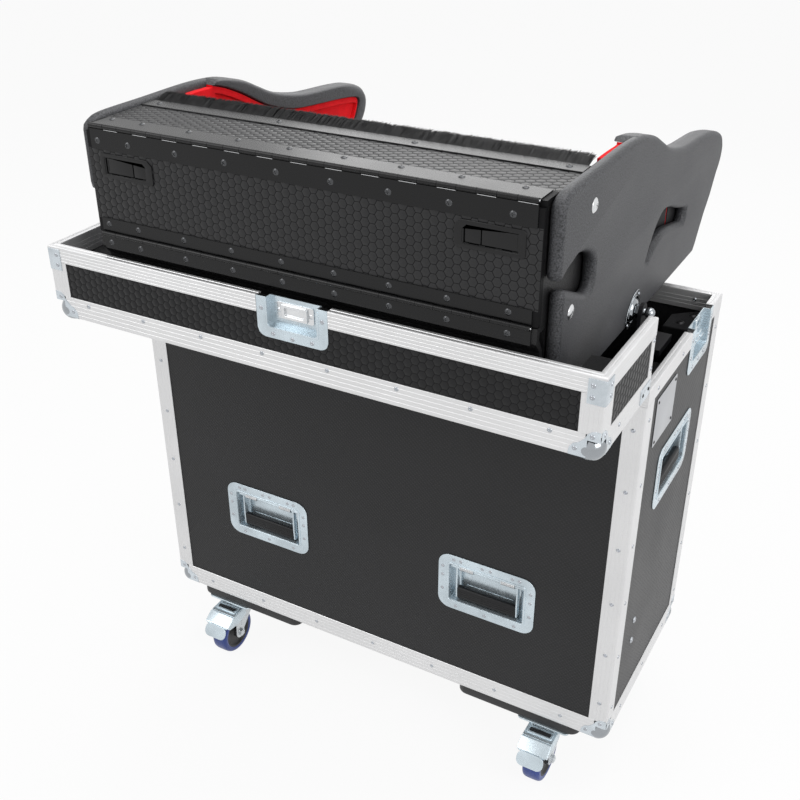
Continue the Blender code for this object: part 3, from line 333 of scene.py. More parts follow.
# Faint embossed dots on a diagonal grid, the same on the front and the sides
tree = laminate.node_tree
shader = tree.nodes["Principled BSDF"]
at = add(tree, "ShaderNodeSeparateXYZ", {0: add(tree, "ShaderNodeTexCoord").outputs["Object"]}).outputs
level = reckon(tree, "ADD", at["X"], at["Y"])
spot = add(tree, "ShaderNodeCombineXYZ", {"X": reckon(tree, "ADD", level, at["Z"]),
                                          "Y": reckon(tree, "SUBTRACT", level, at["Z"])}).outputs[0]
cell = add(tree, "ShaderNodeTexVoronoi", {"Vector": spot, "Scale": 120.0, "Randomness": 0.0},
           voronoi_dimensions="2D")
dot = add(tree, "ShaderNodeMapRange", {
    "Value": cell.outputs["Distance"], "From Min": 0.2, "From Max": 0.42, "To Min": 1.0, "To Max": 0.0},
    interpolation_type="SMOOTHSTEP").outputs[0]
dotted = add(tree, "ShaderNodeBump", {"Height": dot, "Strength": 0.55, "Distance": 0.0006,
                                      "Normal": shader.inputs["Normal"].links[0].from_socket})
tree.links.new(dotted.outputs["Normal"], shader.inputs["Normal"])
holes = [placed(well_hole, p) for p in handle_places.values()] + corner_nicks
holes += [placed(latch_hole, p) for p in latch_places.values()]
for name, (low, high) in panel_boxes.items():
    board = cut(box(low, high), holes)
    piece(name + "_board", board, "case", laminate, [name])
carpet = material("lining", (0.006, 0.006, 0.007), 0.0, 0.95, 0.25, 30.0, 1500.0, 0.8, 0.05, 0.8, 0.0008,
                  specular=0.2, sheen=0.06)
dressed("body_floor", carpet)

# Body edging. Satin anodised aluminium angle and rim channel, drawn with fine grooves, riveted over
# the panel edges; pressed zinc ball corners close the four lower corners of the case.
aluminium = material("aluminium", (0.74, 0.74, 0.745), 0.72, 0.42, 0.05, 5.0, 420.0, 0.1, 0.12, 0.12, 0.0002)
zinc = material("zinc", (0.58, 0.63, 0.67), 0.9, 0.24, 0.12, 26.0, 240.0, 0.08, 0.22, 0.1, 0.0003)


# Flat run of a profile's outer side with fine grooves cut in it, from s0 to s1
def grooved(s0, s1, grooves, depth=0.00028, width=0.0012):
    points = [(s0, 0.0)]
    step = width / 2 if s1 > s0 else -width / 2
    for g in sorted(grooves, reverse=s0 > s1):
        points += [(g - step, 0.0), (g - step * 0.4, depth), (g + step * 0.4, depth), (g + step, 0.0)]
    return points + [(s1, 0.0)]


# Angle profile with its corner at (0, 0): flange a lies along +a, flange b along +b
def angle_profile(leg_a, leg_b, thick=0.0015, corner=0.0028):
    lines_a, lines_b = ([leg * f for f in (0.22, 0.42, 0.62, 0.82)] for leg in (leg_a, leg_b))
    outer = [(leg_a, thick * 0.5)] + grooved(leg_a - 0.0006, corner, lines_a)
    outer += [(corner - corner * math.sin(t), corner - corner * math.cos(t))
              for t in (math.radians(15 * i) for i in range(1, 6))]
    outer += [(d, s) for s, d in grooved(corner, leg_b - 0.0006, lines_b)] + [(thick * 0.5, leg_b)]
    return outer + [(thick, leg_b), (thick, thick), (leg_a, thick)]


# Closed rim channel: outer wall, grooved top and inner wall, open below
def rim_profile(outer_leg, lip, inner_leg, thick):
    outer_lines = [outer_leg * f for f in (0.25, 0.45, 0.65, 0.85)]
    inner_lines = [inner_leg * f for f in (0.35, 0.55, 0.75)]
    points = [(thick * 0.5, outer_leg)]
    points += [(d, s) for s, d in grooved(outer_leg - 0.0006, 0.0018, outer_lines)]
    points += [(0.0006, 0.0006), (0.0018, 0.0)]
    middle = lip / 2
    points += [(middle - 0.0014, 0.0), (middle - 0.0008, 0.0007), (middle + 0.0008, 0.0007),
               (middle + 0.0014, 0.0), (lip - 0.0015, 0.0), (lip - 0.0004, 0.0004), (lip, 0.0015)]
    points += [(lip - d, s) for s, d in grooved(0.004, inner_leg, inner_lines)]
    points += [(lip - thick, inner_leg), (lip - thick, 0.0038), (thick, 0.0038), (thick, outer_leg)]
    return points


# Profile run between two points; each end is cut back by its share of the a and b distances
def run(profile, start, end, a_way, b_way, cut0=(0, 0), cut1=(0, 0)):
    start, end = Vector(start), Vector(end)
    along = (end - start).normalized()
    a_way, b_way = Vector(a_way), Vector(b_way)
    bm = bmesh.new()
    rings = []
    for point, way, (ka, kb) in ((start, 1, cut0), (end, -1, cut1)):
        rings.append([bm.verts.new(point + a_way * a + b_way * b + along * (way * (ka * a + kb * b)))
                      for a, b in profile])
    pairs = [(i, (i + 1) % len(profile)) for i in range(len(profile))]
    for i, j in pairs:
        bm.faces.new((rings[0][i], rings[0][j], rings[1][j], rings[1][i]))
    for ends in rings:
        border = [bm.edges.get((ends[i], ends[j])) for i, j in pairs]
        bmesh.ops.triangle_fill(bm, edges=border, use_beauty=True)
    return from_bm(bm)


# Modifier tree that sets a part on points: its inputs, and the nodes that lay the part out
def laying_tree(name, inputs):
    tree = bpy.data.node_groups.new(name, "GeometryNodeTree")
    shared = [("Geometry", "Geometry", None), ("Part", "Object", None), ("Look", "Material", None)]
    return tree, *sockets(tree, shared + inputs, [("Geometry", "Geometry")])


def lay_out(tree, given, made, points, **feeds):
    part = add(tree, "GeometryNodeObjectInfo", {"Object": given["Part"]}).outputs["Geometry"]
    laid = add(tree, "GeometryNodeInstanceOnPoints", {"Points": points, "Instance": part, **feeds})
    laid = add(tree, "GeometryNodeRealizeInstances", {"Geometry": laid.outputs[0]})
    laid = add(tree, "GeometryNodeSetMaterial", {"Geometry": laid.outputs[0], "Material": given["Look"]})
    tree.links.new(laid.outputs[0], made["Geometry"])


# Result of a modifier tree on a mesh, its inputs set by their identifiers
def grown(start, tree, part, look, **values):
    item = temp(start)
    step = item.modifiers.new("grow", "NODES")
    step.node_group = tree
    names = {s.name: s.identifier for s in tree.interface.items_tree
             if s.item_type == "SOCKET" and s.in_out == "INPUT"}
    for label, value in {"Part": part, "Look": look, **values}.items():
        step[names[label]] = value
    item.update_tag()
    return baked(item)


# Random value of a modifier tree between two feeds
def chance(tree, kind, low, high, seed):
    item = add(tree, "FunctionNodeRandomValue", {"Seed": seed}, data_type=kind)
    wanted = "VECTOR" if kind == "FLOAT_VECTOR" else "VALUE"
    for label, value in (("Min", low), ("Max", high)):
        socket = [s for s in item.inputs if s.name == label and s.type == wanted and s.enabled][0]
        if isinstance(value, bpy.types.NodeSocket):
            tree.links.new(value, socket)
        else:
            socket.default_value = value
    return [s for s in item.outputs if s.type == wanted and s.enabled][0]


# Modifier tree that sets a small part on every point, turned to the point's own direction
spot_tree, given, made = laying_tree("fasteners", [("Scale", "Float", 1.0)])
facing = add(spot_tree, "GeometryNodeInputNamedAttribute", {"Name": "facing"}, data_type="FLOAT_VECTOR")
aim = add(spot_tree, "FunctionNodeAlignRotationToVector", {"Vector": facing.outputs[0]}, axis="Z").outputs[0]
spin = add(spot_tree, "ShaderNodeCombineXYZ", {"Z": chance(spot_tree, "FLOAT", 0.0, 3.14, 4)}).outputs[0]
spin = add(spot_tree, "FunctionNodeEulerToRotation", {0: spin}).outputs[0]
aim = add(spot_tree, "FunctionNodeRotateRotation", {0: aim, 1: spin}, rotation_space="LOCAL").outputs[0]
lay_out(spot_tree, given, made, given["Geometry"], Rotation=aim, Scale=given["Scale"])


# Turned part about local Z, from (radius, height) pairs
def turned(profile, steps, place=FACE_UP):
    mesh = bpy.data.meshes.new("turned")
    mesh.from_pydata([(r, 0, h) for r, h in profile], [(i, i + 1) for i in range(len(profile) - 1)], [])
    item = temp(mesh)
    screw = item.modifiers.new("turn", "SCREW")
    screw.axis = "Z"
    screw.steps = steps
    screw.render_steps = steps
    screw.use_merge_vertices = True
    screw.merge_threshold = 0.00001
    result = merged(baked(item))
    result.transform(place)
    return result


# Two slots across each other, to be cut in a screw head
def cross(length, width, low, high):
    return [box((-a, -b, low), (a, b, high)) for a, b in ((length, width), (width, length))]


# Blind rivet: low dome with the dimple of its mandrel
rivet = temp(turned([(0, 0.0007), (0.0009, 0.0008), (0.0013, 0.0013), (0.0022, 0.0013), (0.0034, 0.0007),
                     (0.0038, 0), (0.0038, -0.0004), (0, -0.0004)], 14))
# Cross-head screw: flat dome with a slot cut both ways
screw_head = turned([(0, 0.0014), (0.002, 0.0013), (0.0032, 0.0008), (0.004, 0), (0.004, -0.0004),
                     (0, -0.0004)], 18)
screw = temp(cut(screw_head, cross(0.0022, 0.0004, 0.0006, 0.003)))


# Rivets or screws at (place, direction) pairs, themselves in a place
def fasteners(name, spots, body, look, part=rivet, scale=1.0, place=FACE_UP):
    mesh = bpy.data.meshes.new(name)
    mesh.from_pydata([tuple(place @ Vector(p)) for p, _ in spots], [], [])
    facing = mesh.attributes.new("facing", "FLOAT_VECTOR", "POINT")
    for k, (_, n) in enumerate(spots):
        facing.data[k].vector = place.to_3x3() @ Vector(n)
    return piece(name, grown(mesh, spot_tree, part, look, Scale=scale), body, look, ())


# Places at about a pitch on a line, each with the same direction
def row_of(start, end, pitch, way, margin=0.0):
    start, end = Vector(start), Vector(end)
    length = (end - start).length
    count = max(int(round((length - 2 * margin) / pitch)), 1)
    unit = (end - start) / length
    return [(start + unit * (margin + (length - 2 * margin) * k / count), way) for k in range(count + 1)]


CORNER = 0.024
post = angle_profile(0.036, 0.036)
foot = angle_profile(0.043, 0.043)
rim = rim_profile(0.029, 0.015, 0.036, 0.0015)
post_low, post_top = BASE + 0.043, RIM - 0.029
LATCH_HALF = 0.0653
latch_low, latch_high = SIDE_LATCH_Y - LATCH_HALF, SIDE_LATCH_Y + LATCH_HALF
DOWN = (0, 0, -1)
frame_runs = []
for sx in (-1, 1):
    x, inwards = sx * HALF_W, (-sx, 0, 0)
    for y, sy in ENDS:
        frame_runs.append(run(post, (x, y, post_low), (x, y, post_top), inwards, (0, sy, 0)))
    frame_runs.append(run(foot, (x, FRONT + CORNER, BASE), (x, BACK - CORNER, BASE), UP, inwards))
    frame_runs.append(run(rim, (x, FRONT, RIM), (x, latch_low, RIM), inwards, DOWN, (1, 0)))
    frame_runs.append(run(rim, (x, latch_high, RIM), (x, BACK, RIM), inwards, DOWN, (0, 0), (1, 0)))
for y, sy in ENDS:
    frame_runs.append(run(foot, (-HALF_W + CORNER, y, BASE), (HALF_W - CORNER, y, BASE), UP, (0, sy, 0)))
    frame_runs.append(run(rim, (-HALF_W, y, RIM), (HALF_W, y, RIM), (0, sy, 0), DOWN, (1, 0), (1, 0)))
piece("body_edging", gathered(frame_runs), "case", aluminium, ["body_frame"], 25)

CAP_SHELL = 0.0007


# Ball corner: a pressed leg along each edge, proud of the edging, and the ball in the corner
def ball_corner(reach, radius=0.022):
    outer = temp(box((-CAP_SHELL,) * 3, (0.07,) * 3))
    ease = outer.modifiers.new("ease", "BEVEL")
    ease.width = 0.004
    ease.segments = 3
    half = [(1, 0.16), (0.97, 0.3), (0.86, 0.44), (0.72, 0.5)]
    shares = half + [(0.6, 0.6)] + [(v, u) for u, v in reversed(half)]
    lobe = [(-0.01, -0.01), (reach, -0.01)] + [(reach * u, reach * v) for u, v in shares] + [(-0.01, reach)]
    faces = (FACE_UP, FACE_RIGHT, axes(UP, (1, 0, 0), (0, 1, 0)))
    masks = [plate([lobe], -0.02, 0.09, face) for face in faces]
    middle = radius - 0.002
    shell = cut(baked(outer), [box((0.0001,) * 3, (0.09,) * 3), box((-0.01,) * 3, (middle, middle, 0.03))])
    shell = combine(shell, masks, "INTERSECT")
    bm = bmesh.new()
    bmesh.ops.create_uvsphere(bm, u_segments=40, v_segments=28, radius=radius,
                              matrix=shift(middle, middle, 0.0115))
    return gathered([shell, box((0.0095,) * 3, (0.031,) * 3)]), from_bm(bm)


# Rivets of ball corners: two on each of the three faces
def cap_rivets(places, far, near=0.013, out=-CAP_SHELL):
    spots = [((far, near, out), DOWN), ((near, far, out), DOWN), ((far, out, near), (0, -1, 0)),
             ((near, out, far), (0, -1, 0)), ((out, far, near), (-1, 0, 0)), ((out, near, far), (-1, 0, 0))]
    return [(place @ Vector(p), place.to_3x3() @ Vector(n)) for place in places for p, n in spots]


# The same mesh at several places, as one
def spread_out(mesh, places):
    return gathered([placed(mesh, place) for place in places])


cap_shell, cap_ball = ball_corner(0.048)
cap_places = [shift(sx * HALF_W, y, BASE) @ Matrix.Diagonal((-sx, sy, 1, 1))
              for sx in (-1, 1) for y, sy in ENDS]
chrome = material("chrome", (0.34, 0.36, 0.38), 1.0, 0.16, 0.05, 30.0, 600.0, 0.08, 0.06, 0.05)
piece("body_corner_shells", spread_out(cap_shell, cap_places), "case", zinc, (), 40)
piece("body_corner_balls", spread_out(cap_ball, cap_places), "case", chrome, (), 60)
body_spots = cap_rivets(cap_places, 0.039)
FOOT_Z, RIM_Z, RIVET_IN = BASE + 0.022, RIM - 0.0165, 0.0185
for sx in (-1, 1):
    x, across = sx * HALF_W, sx * (HALF_W - RIVET_IN)
    for y, sy in ENDS:
        beside_y = y + sy * RIVET_IN
        body_spots += row_of((across, y, post_low), (across, y, post_top), 0.125, (0, -sy, 0), 0.045)
        body_spots += row_of((x, beside_y, post_low), (x, beside_y, post_top), 0.125, (sx, 0, 0), 0.03)
    body_spots += row_of((x, FRONT, FOOT_Z), (x, BACK, FOOT_Z), 0.12, (sx, 0, 0), 0.08)
    body_spots += row_of((x, FRONT, RIM_Z), (x, latch_low, RIM_Z), 0.11, (sx, 0, 0), 0.05)
for y, sy in ENDS:
    body_spots += row_of((-HALF_W, y, FOOT_Z), (HALF_W, y, FOOT_Z), 0.14, (0, -sy, 0), 0.09)
body_spots += row_of((-HALF_W, BACK, RIM_Z), (HALF_W, BACK, RIM_Z), 0.14, (0, 1, 0), 0.05)
body_spots += row_of((-0.455, BACK - 0.015, RIM_Z), (0.455, BACK - 0.015, RIM_Z), 0.13, (0, -1, 0))
rivet_metal = material("rivet_metal", (0.42, 0.44, 0.47), 1.0, 0.26, 0.06, 60.0, 900.0, 0.1, 0.1, 0.1)
fasteners("body_rivets", body_spots, "case", rivet_metal)

# Recessed spring handles, four on the case. Each dish is deep drawn from zinc plated sheet, with a
# raised bead round its well and 14 rivets; the grip is moulded rubber on two flat steel arms that
# hang from a rod, pulled shut by a coil spring at each end.
sheet_zinc = material("zinc_pressed", (0.58, 0.66, 0.71), 0.7, 0.25, 0.14, 20.0, 260.0, 0.1, 0.26, 0.14,
                      0.0004)
grip_rubber = material("grip_rubber", (0.006, 0.006, 0.007), 0.0, 0.42, 0.12, 40.0, 1400.0, 0.4, 0.12, 0.35,
                       specular=0.3)
WELL_LOW = -0.021
well_inner = rounded(0.15, 0.082, 0.003)
well_outer = rounded(0.154, 0.086, 0.005)
dish = gathered([
    plate([rounded(0.195, 0.125, 0.024), well_inner], 0.0003, 0.0018, edge=0.0006),
    plate([rounded(0.159, 0.091, 0.007), rounded(0.151, 0.083, 0.0034)], 0.001, 0.003, edge=0.0009,
          rounds=3),
    plate([well_outer, well_inner], WELL_LOW, 0.0012),
    plate([well_outer], WELL_LOW, WELL_LOW + 0.0015),
    plate([rounded(0.1, 0.012, 0.005, 0, -0.018)], -0.0197, -0.0188, edge=0.0004)])
grip_bar = plate([rounded(0.028, 0.014, 0.0062, -0.0245, -0.008, 5)], -0.059, 0.059, FACE_RIGHT, edge=0.0015)
ridges = [plate([rounded(0.0016, 0.0016, 0.0007, v, -0.00122, 3)], -0.056, 0.056, FACE_RIGHT, edge=0.0004)
          for v in (-0.029, -0.0245, -0.02)]
ROD_V, ROD_W = 0.0335, -0.006


def cylinder(radius, z0, z1, place, sides=24, ease=0.0004):
    flat = radius - ease
    return turned([(0, z1), (flat, z1), (radius, z1 - ease), (radius, z0 + ease), (flat, z0), (0, z0)], sides,
                  place)


arm_line = [(ROD_V + 0.0042, ROD_W - 0.003), (ROD_V + 0.0042, ROD_W + 0.0026),
            (ROD_V - 0.004, ROD_W + 0.0036), (-0.014, -0.002), (-0.0355, -0.003), (-0.037, -0.008),
            (-0.0355, -0.013), (-0.014, -0.0134), (ROD_V - 0.008, ROD_W - 0.0048)]
arms = [plate([arm_line], s - 0.0016, s + 0.0016, FACE_RIGHT, edge=0.0004) for s in (-0.061, 0.061)]
rod_place = shift(0, ROD_V, ROD_W) @ FACE_RIGHT
grip_rod = cylinder(0.003, -0.0745, 0.0745, rod_place)


# Coil spring: round wire wound about local Z
def spring(radius, wire, z0, z1, turns, place, per_turn=12):
    curve = bpy.data.curves.new("spring", "CURVE")
    curve.dimensions = "3D"
    curve.bevel_depth = wire
    curve.bevel_resolution = 2
    curve.use_fill_caps = True
    line = curve.splines.new("POLY")
    count = turns * per_turn
    line.points.add(count)
    for k, point in enumerate(line.points):
        a = 2 * math.pi * k / per_turn
        point.co = (radius * math.cos(a), radius * math.sin(a), z0 + (z1 - z0) * k / count, 1)
    mesh = baked(temp(curve))
    mesh.transform(place)
    return mesh


springs = gathered([spring(0.0046, 0.0008, s * 0.028, s * 0.056, 16, rod_place) for s in (-1, 1)])


# Fastener places on a sheet that faces local Z
def on_sheet(spots, height=0.0018):
    return [((u, v, height), UP) for u, v in spots]


dish_spots = on_sheet([(u, 0.0535) for u in (-0.066, -0.052, -0.008, 0.008, 0.052, 0.066)]
                      + [(s * 0.0885, v) for s in (-1, 1) for v in (-0.02, 0.012, 0.032)]
                      + [(u, -0.0535) for u in (-0.06, 0.0, 0.06)])
bright_steel = material("bright_steel", (0.7, 0.71, 0.72), 1.0, 0.22, 0.06, 30.0, 500.0, 0.1, 0.12, 0.08)
grip_rubbers, grip_arms = gathered([grip_bar] + ridges), gathered(arms + [grip_rod])
for side, place in handle_places.items():
    body = "grip_" + side
    piece("handle_dish_sheet_" + side, placed(dish, place), "case", sheet_zinc, ["handle_dish_" + side])
    piece("handle_grip_rubber_" + side, placed(grip_rubbers, place), body, grip_rubber,
          ["handle_grip_" + side])
    piece("handle_grip_arms_" + side, placed(grip_arms, place), body, sheet_zinc, ())
    piece("handle_springs_" + side, placed(springs, place), "case", bright_steel, ())
    fasteners("handle_rivets_" + side, dish_spots, "case", rivet_metal, rivet, 0.92, place)

# Butterfly latches let into both side rims: drawn zinc dish, open at the rim, with a round hub that
# carries the hook and two folded wings that stand up to be turned.
WING_V = -0.036


def latch_sheet(height, well_height):
    half, side = 0.065, 0.046
    corner = ((0, 0.014), (0.003, 0.006), (0.008, 0.002), (0.014, 0))
    outline = [(-half, -0.0003)] + [(-half + u, -height + v) for u, v in corner]
    outline += [(half - u, -height + v) for u, v in reversed(corner)] + [(half, -0.0003)]
    corner = ((0, 0.006), (0.002, 0.002), (0.006, 0))
    mouth = [(-side, 0.0015)] + [(-side + u, -well_height + v) for u, v in corner]
    mouth += [(side - u, -well_height + v) for u, v in reversed(corner)] + [(side, 0.0015)]

    # The mouth widened by a share and let down; its upper points by another amount
    def widened(share, down, upper):
        return [(u * share, v - (down if v < -0.01 else upper)) for u, v in mouth]

    sheet = cut(plate([outline, [(u, min(v, -0.002)) for u, v in mouth]], 0.0003, 0.0018, edge=0.0005),
                [box((-side, -0.008, -0.01), (side, 0.01, 0.01))])
    drawn = cut(plate([widened(1.033, 0.0015, 0)], -0.012, 0.001, edge=0.0005),
                [plate([mouth], -0.0105, 0.02), box((-0.08, -0.0006, -0.02), (0.08, 0.02, 0.02))])
    bead = plate([widened(1.06, 0.003, 0.004), widened(1.006, 0.0004, 0.004)], 0.0008, 0.0026, edge=0.0008)
    return gathered([sheet, drawn, cut(bead, [box((-0.08, -0.0056, -0.02), (0.08, 0.02, 0.02))])])


# Mesh with its mirror image on the other side
def mirrored(mesh):
    return gathered([mesh, placed(mesh, MIRROR_X)])


hub = turned([(0, -0.0024), (0.006, -0.0024), (0.0075, -0.0032), (0.0088, -0.0034), (0.009, -0.006),
              (0.013, -0.0066), (0.0132, -0.0086), (0.0098, -0.009), (0.0098, -0.0104), (0, -0.0104)], 32,
             shift(0, WING_V, 0))
wing_half = [(0.0035, 0.0085), (0.012, 0.0102), (0.019, 0.008)]
wing_outline = [(u, WING_V - v) for u, v in wing_half] + [(0.0212, WING_V)] \
    + [(u, WING_V + v) for u, v in reversed(wing_half)]
wing_sheet = plate([wing_outline], -0.0052, -0.0034, edge=0.0005)
fold = plate([rounded(0.0172, 0.003, 0.0012, 0.0122, WING_V)], -0.004, 0.0004, edge=0.0006)
wing = gathered([hub, mirrored(wing_sheet), mirrored(fold)])
hook_plate = cut(plate([rounded(0.03, 0.026, 0.004, 0, -0.013)], -0.0104, -0.007, edge=0.0006),
                 [plate([rounded(0.016, 0.01, 0.003, 0, -0.01)], -0.02, 0.01)])
latch_spots = on_sheet([(s * 0.0565, v) for s in (-1, 1) for v in (-0.018, -0.052)]
                       + [(u, -0.0765) for u in (-0.036, 0.0, 0.036)])
side_sheet = gathered([latch_sheet(0.086, 0.064), hook_plate])
for side, place in latch_places.items():
    piece("latch_sheet_" + side, placed(side_sheet, place), "case", sheet_zinc, ["latch_dish_" + side])
    piece("latch_wings_" + side, placed(wing, place), "wing_" + side, sheet_zinc, ["latch_wing_" + side])
    fasteners("latch_rivets_" + side, latch_spots, "case", rivet_metal, rivet, 1.0, place)

# Right side fittings: a bare identification plate held by four black screws, and two bolt heads of
# the lift guide that come through the panel below the handle.
label_alloy = material("bare_plate", (0.5, 0.51, 0.53), 1.0, 0.38, 0.08, 14.0, 600.0, 0.15, 0.14, 0.15,
                       stretch=(1, 1, 14))
ID_Y, ID_Z = FRONT + 0.1125, BASE + 0.655
id_plate = plate([rounded(0.105, 0.09, 0.004, ID_Y, ID_Z)], 0.0003, 0.0014, right_face, edge=0.0004)
piece("identification_plate", id_plate, "case", label_alloy, ())
black_screw = material("black_screw", (0.015, 0.015, 0.016), 0.6, 0.32, 0.1, 50.0, 800.0, 0.2, 0.1, 0.1)
plate_spots = on_sheet([(ID_Y + a, ID_Z + b) for a in (-0.045, 0.045) for b in (-0.037, 0.037)], 0.0014)
fasteners("plate_screws", plate_spots, "case", black_screw, screw, 0.8, right_face)
bolt_spots = on_sheet([(FRONT + 0.105, BASE + 0.215), (FRONT + 0.103, BASE + 0.168)], 0.0002)
fasteners("side_bolts", bolt_spots, "case", rivet_metal, rivet, 1.7, right_face)

# Caster boards: black filmed birch ply bolted under the floor, corners and lower edge rounded; each
# carries the zinc top plates of two casters, held by four hexagon bolts.
film_ply = material("film_faced_ply", (0.018, 0.018, 0.019), 0.0, 0.48, 0.16, 12.0, 900.0, 0.4, 0.14, 0.3)
SIDES = (("left", -1), ("right", 1))
BOARD_TOP = BASE - 0.0003
PLATE_TOP = BOARD_TOP - 0.025
PLATE_LOW = PLATE_TOP - 0.003
CASTER_X = 0.375
caster_ends = {"front": FRONT + 0.045, "back": BACK - 0.045}
board = plate([rounded(0.255, 0.412, 0.02, 0.3175, FRONT + 0.211, 8)], PLATE_TOP, BOARD_TOP, edge=0.005,
              rounds=4)
top_plates = gathered([plate([rounded(0.105, 0.085, 0.008, CASTER_X, y)], PLATE_LOW, PLATE_TOP + 0.0005,
                             edge=0.0008) for y in caster_ends.values()])
bolt = temp(gathered([
    turned([(0, 0.0046), (0.0044, 0.0046), (0.0058, 0.0038), (0.0058, 0.001), (0, 0.001)], 6),
    turned([(0, 0.0012), (0.0072, 0.0012), (0.0078, 0.0006), (0.0078, -0.0003), (0, -0.0003)], 24)]))
for side, sx in SIDES:
    face = FACE_UP if sx > 0 else MIRROR_X
    piece("caster_board_ply_" + side, placed(board, face), "case", film_ply, ["caster_board_" + side])
    piece("caster_top_plates_" + side, placed(top_plates, face), "case", sheet_zinc, ())
    bolts = [((sx * CASTER_X + a, y + b, PLATE_LOW), DOWN)
             for y in caster_ends.values() for a in (-0.041, 0.041) for b in (-0.031, 0.031)]
    fasteners("caster_bolts_" + side, bolts, "case", bright_steel, bolt, 0.85)

# Casters: 100 mm wheels with a black moulded centre and a blue elastic tread, in pressed zinc forks on
# a double ball race. The front pair has a brake: a bent treadle over the wheel with a slotted grip
# bar, two pins and a rounded lower flap.
tread_blue = material("blue_tread", (0.03, 0.06, 0.26), 0.0, 0.38, 0.12, 20.0, 700.0, 0.15, 0.12, 0.2)
wheel_black = material("wheel_centre", (0.014, 0.014, 0.015), 0.0, 0.5, 0.1, 20.0, 900.0, 0.2, 0.1, 0.2)
painted_zinc = material("fork_zinc", (0.62, 0.65, 0.67), 0.75, 0.34, 0.1, 22.0, 400.0, 0.15, 0.18, 0.12)
WHEEL_R, TRAIL = 0.05, 0.038
AXLE_Z = WHEEL_R - PLATE_LOW
CROWN_Z = -0.0078
HALF_TURN = Matrix.Rotation(math.pi, 4, "Z")
race = turned([(0, -0.0004), (0.0235, -0.0004), (0.0262, -0.0014), (0.027, -0.003), (0.0262, -0.0044),
               (0.0238, -0.005), (0.0238, -0.0056), (0.0264, -0.0062), (0.027, -0.0078), (0, -0.0078)], 40)
crown = plate([[(-0.0242, -0.034), (0.0242, -0.034), (0.0242, 0.018), (0.018, 0.0262), (-0.018, 0.0262),
                (-0.0242, 0.018)]], CROWN_Z - 0.003, CROWN_Z, edge=0.0008)
foot_round = [(-TRAIL + 0.0135 * math.cos(a), AXLE_Z + 0.0135 * math.sin(a))
              for a in (math.radians(d) for d in range(10, -196, -15))]
leg_line = [(-0.0335, CROWN_Z), (0.024, CROWN_Z), (0.0235, CROWN_Z - 0.008), (0.019, CROWN_Z - 0.02)]
leg_line += foot_round + [(-0.05, CROWN_Z - 0.036), (-0.0465, CROWN_Z - 0.028), (-0.037, CROWN_Z - 0.012)]
leg_rib = [(-0.03, CROWN_Z - 0.012), (0.012, CROWN_Z - 0.012), (-0.02, AXLE_Z + 0.018),
           (-0.034, AXLE_Z + 0.018)]


# Sheets cut to one outline, one on each side of the middle plane
def cheeks(outline, distance, half, edge):
    return [plate([outline], s - half, s + half, FACE_RIGHT, edge=edge) for s in (-distance, distance)]


axle_place = shift(0, -TRAIL, AXLE_Z) @ FACE_RIGHT
nut = gathered([
    turned([(0, 0.03), (0.007, 0.03), (0.0084, 0.0292), (0.0084, 0.025), (0, 0.025)], 6),
    turned([(0, 0.0254), (0.0098, 0.0254), (0.0102, 0.025), (0.0102, 0.0243), (0, 0.0243)], 28)])
kingpin = turned([(0, CROWN_Z - 0.0062), (0.0052, CROWN_Z - 0.006), (0.007, CROWN_Z - 0.0044),
                  (0.0072, CROWN_Z - 0.0026), (0, CROWN_Z - 0.0026)], 24)
fork = gathered([race, crown, cylinder(0.005, -0.03, 0.0312, axle_place, 20), kingpin]
                + cheeks(leg_line, 0.0227, 0.0015, 0.0007) + cheeks(leg_rib, 0.0244, 0.0006, 0.0005)
                + [placed(nut, axle_place @ turn) for turn in (Matrix.Rotation(math.pi, 4, "X"), FACE_UP)])


# Ring turned from the half section above its middle plane
def ring(half, steps):
    return turned(half + [(r, -h) for r, h in reversed(half)] + [half[0]], steps)


core = ring([(0.0053, 0.0205), (0.012, 0.0205), (0.0132, 0.0198), (0.014, 0.015), (0.018, 0.013),
             (0.03, 0.0128), (0.033, 0.0146), (0.035, 0.0172), (0.0385, 0.0172), (0.0392, 0.016)], 48)
tread = ring([(0.038, 0.017), (0.0392, 0.0179), (0.044, 0.018), (0.0468, 0.0172), (0.0486, 0.0152),
              (0.0497, 0.0118), (0.05, 0.007)], 56)


# Place on the line between two points of the YZ plane, with local Y along it, and its length
def slope(p, q):
    p, q = Vector((0, *p)), Vector((0, *q))
    along = (q - p).normalized()
    normal = Vector((1, 0, 0)).cross(along)
    return Matrix.Translation((p + q) / 2) @ axes((1, 0, 0), along, normal), (q - p).length


PEDAL_Y, PEDAL_Z = -0.0285, CROWN_Z - 0.0085
bends = [(PEDAL_Y, PEDAL_Z + 0.002), (-0.064, PEDAL_Z + 0.001), (-0.087, PEDAL_Z - 0.014),
         (-0.1005, PEDAL_Z - 0.0395)]
treadle = []
for i, (width, corner) in enumerate(((0.06, 0.002), (0.062, 0.003), (0.054, 0.012))):
    place, length = slope(bends[i], bends[i + 1])
    treadle.append(plate([rounded(width, length, corner)], -0.0026, 0, place, edge=0.0008))
for i, w in ((1, 0.0296), (2, 0.0268)):
    treadle.append(cylinder(0.0019, -w, w, shift(0, *bends[i]) @ shift(0, 0.0004, -0.0012) @ FACE_RIGHT, 16))
grip_place = slope((-0.04, PEDAL_Z + 0.0038), (-0.054, PEDAL_Z + 0.0034))[0]
treadle.append(plate([rounded(0.052, 0.017, 0.003), rounded(0.04, 0.0072, 0.0015)], -0.003, 0.003,
                     grip_place, edge=0.0012, rounds=3))
slot_bed = plate([rounded(0.044, 0.01, 0.002)], -0.003, -0.001, grip_place)
pin_place = slope(bends[1], bends[2])[0]
treadle += [turned([(0, 0.0022), (0.0016, 0.002), (0.0027, 0.001), (0.0029, -0.0005), (0, -0.0005)], 20,
                   pin_place @ shift(x, 0.004, 0)) for x in (-0.022, 0.022)]
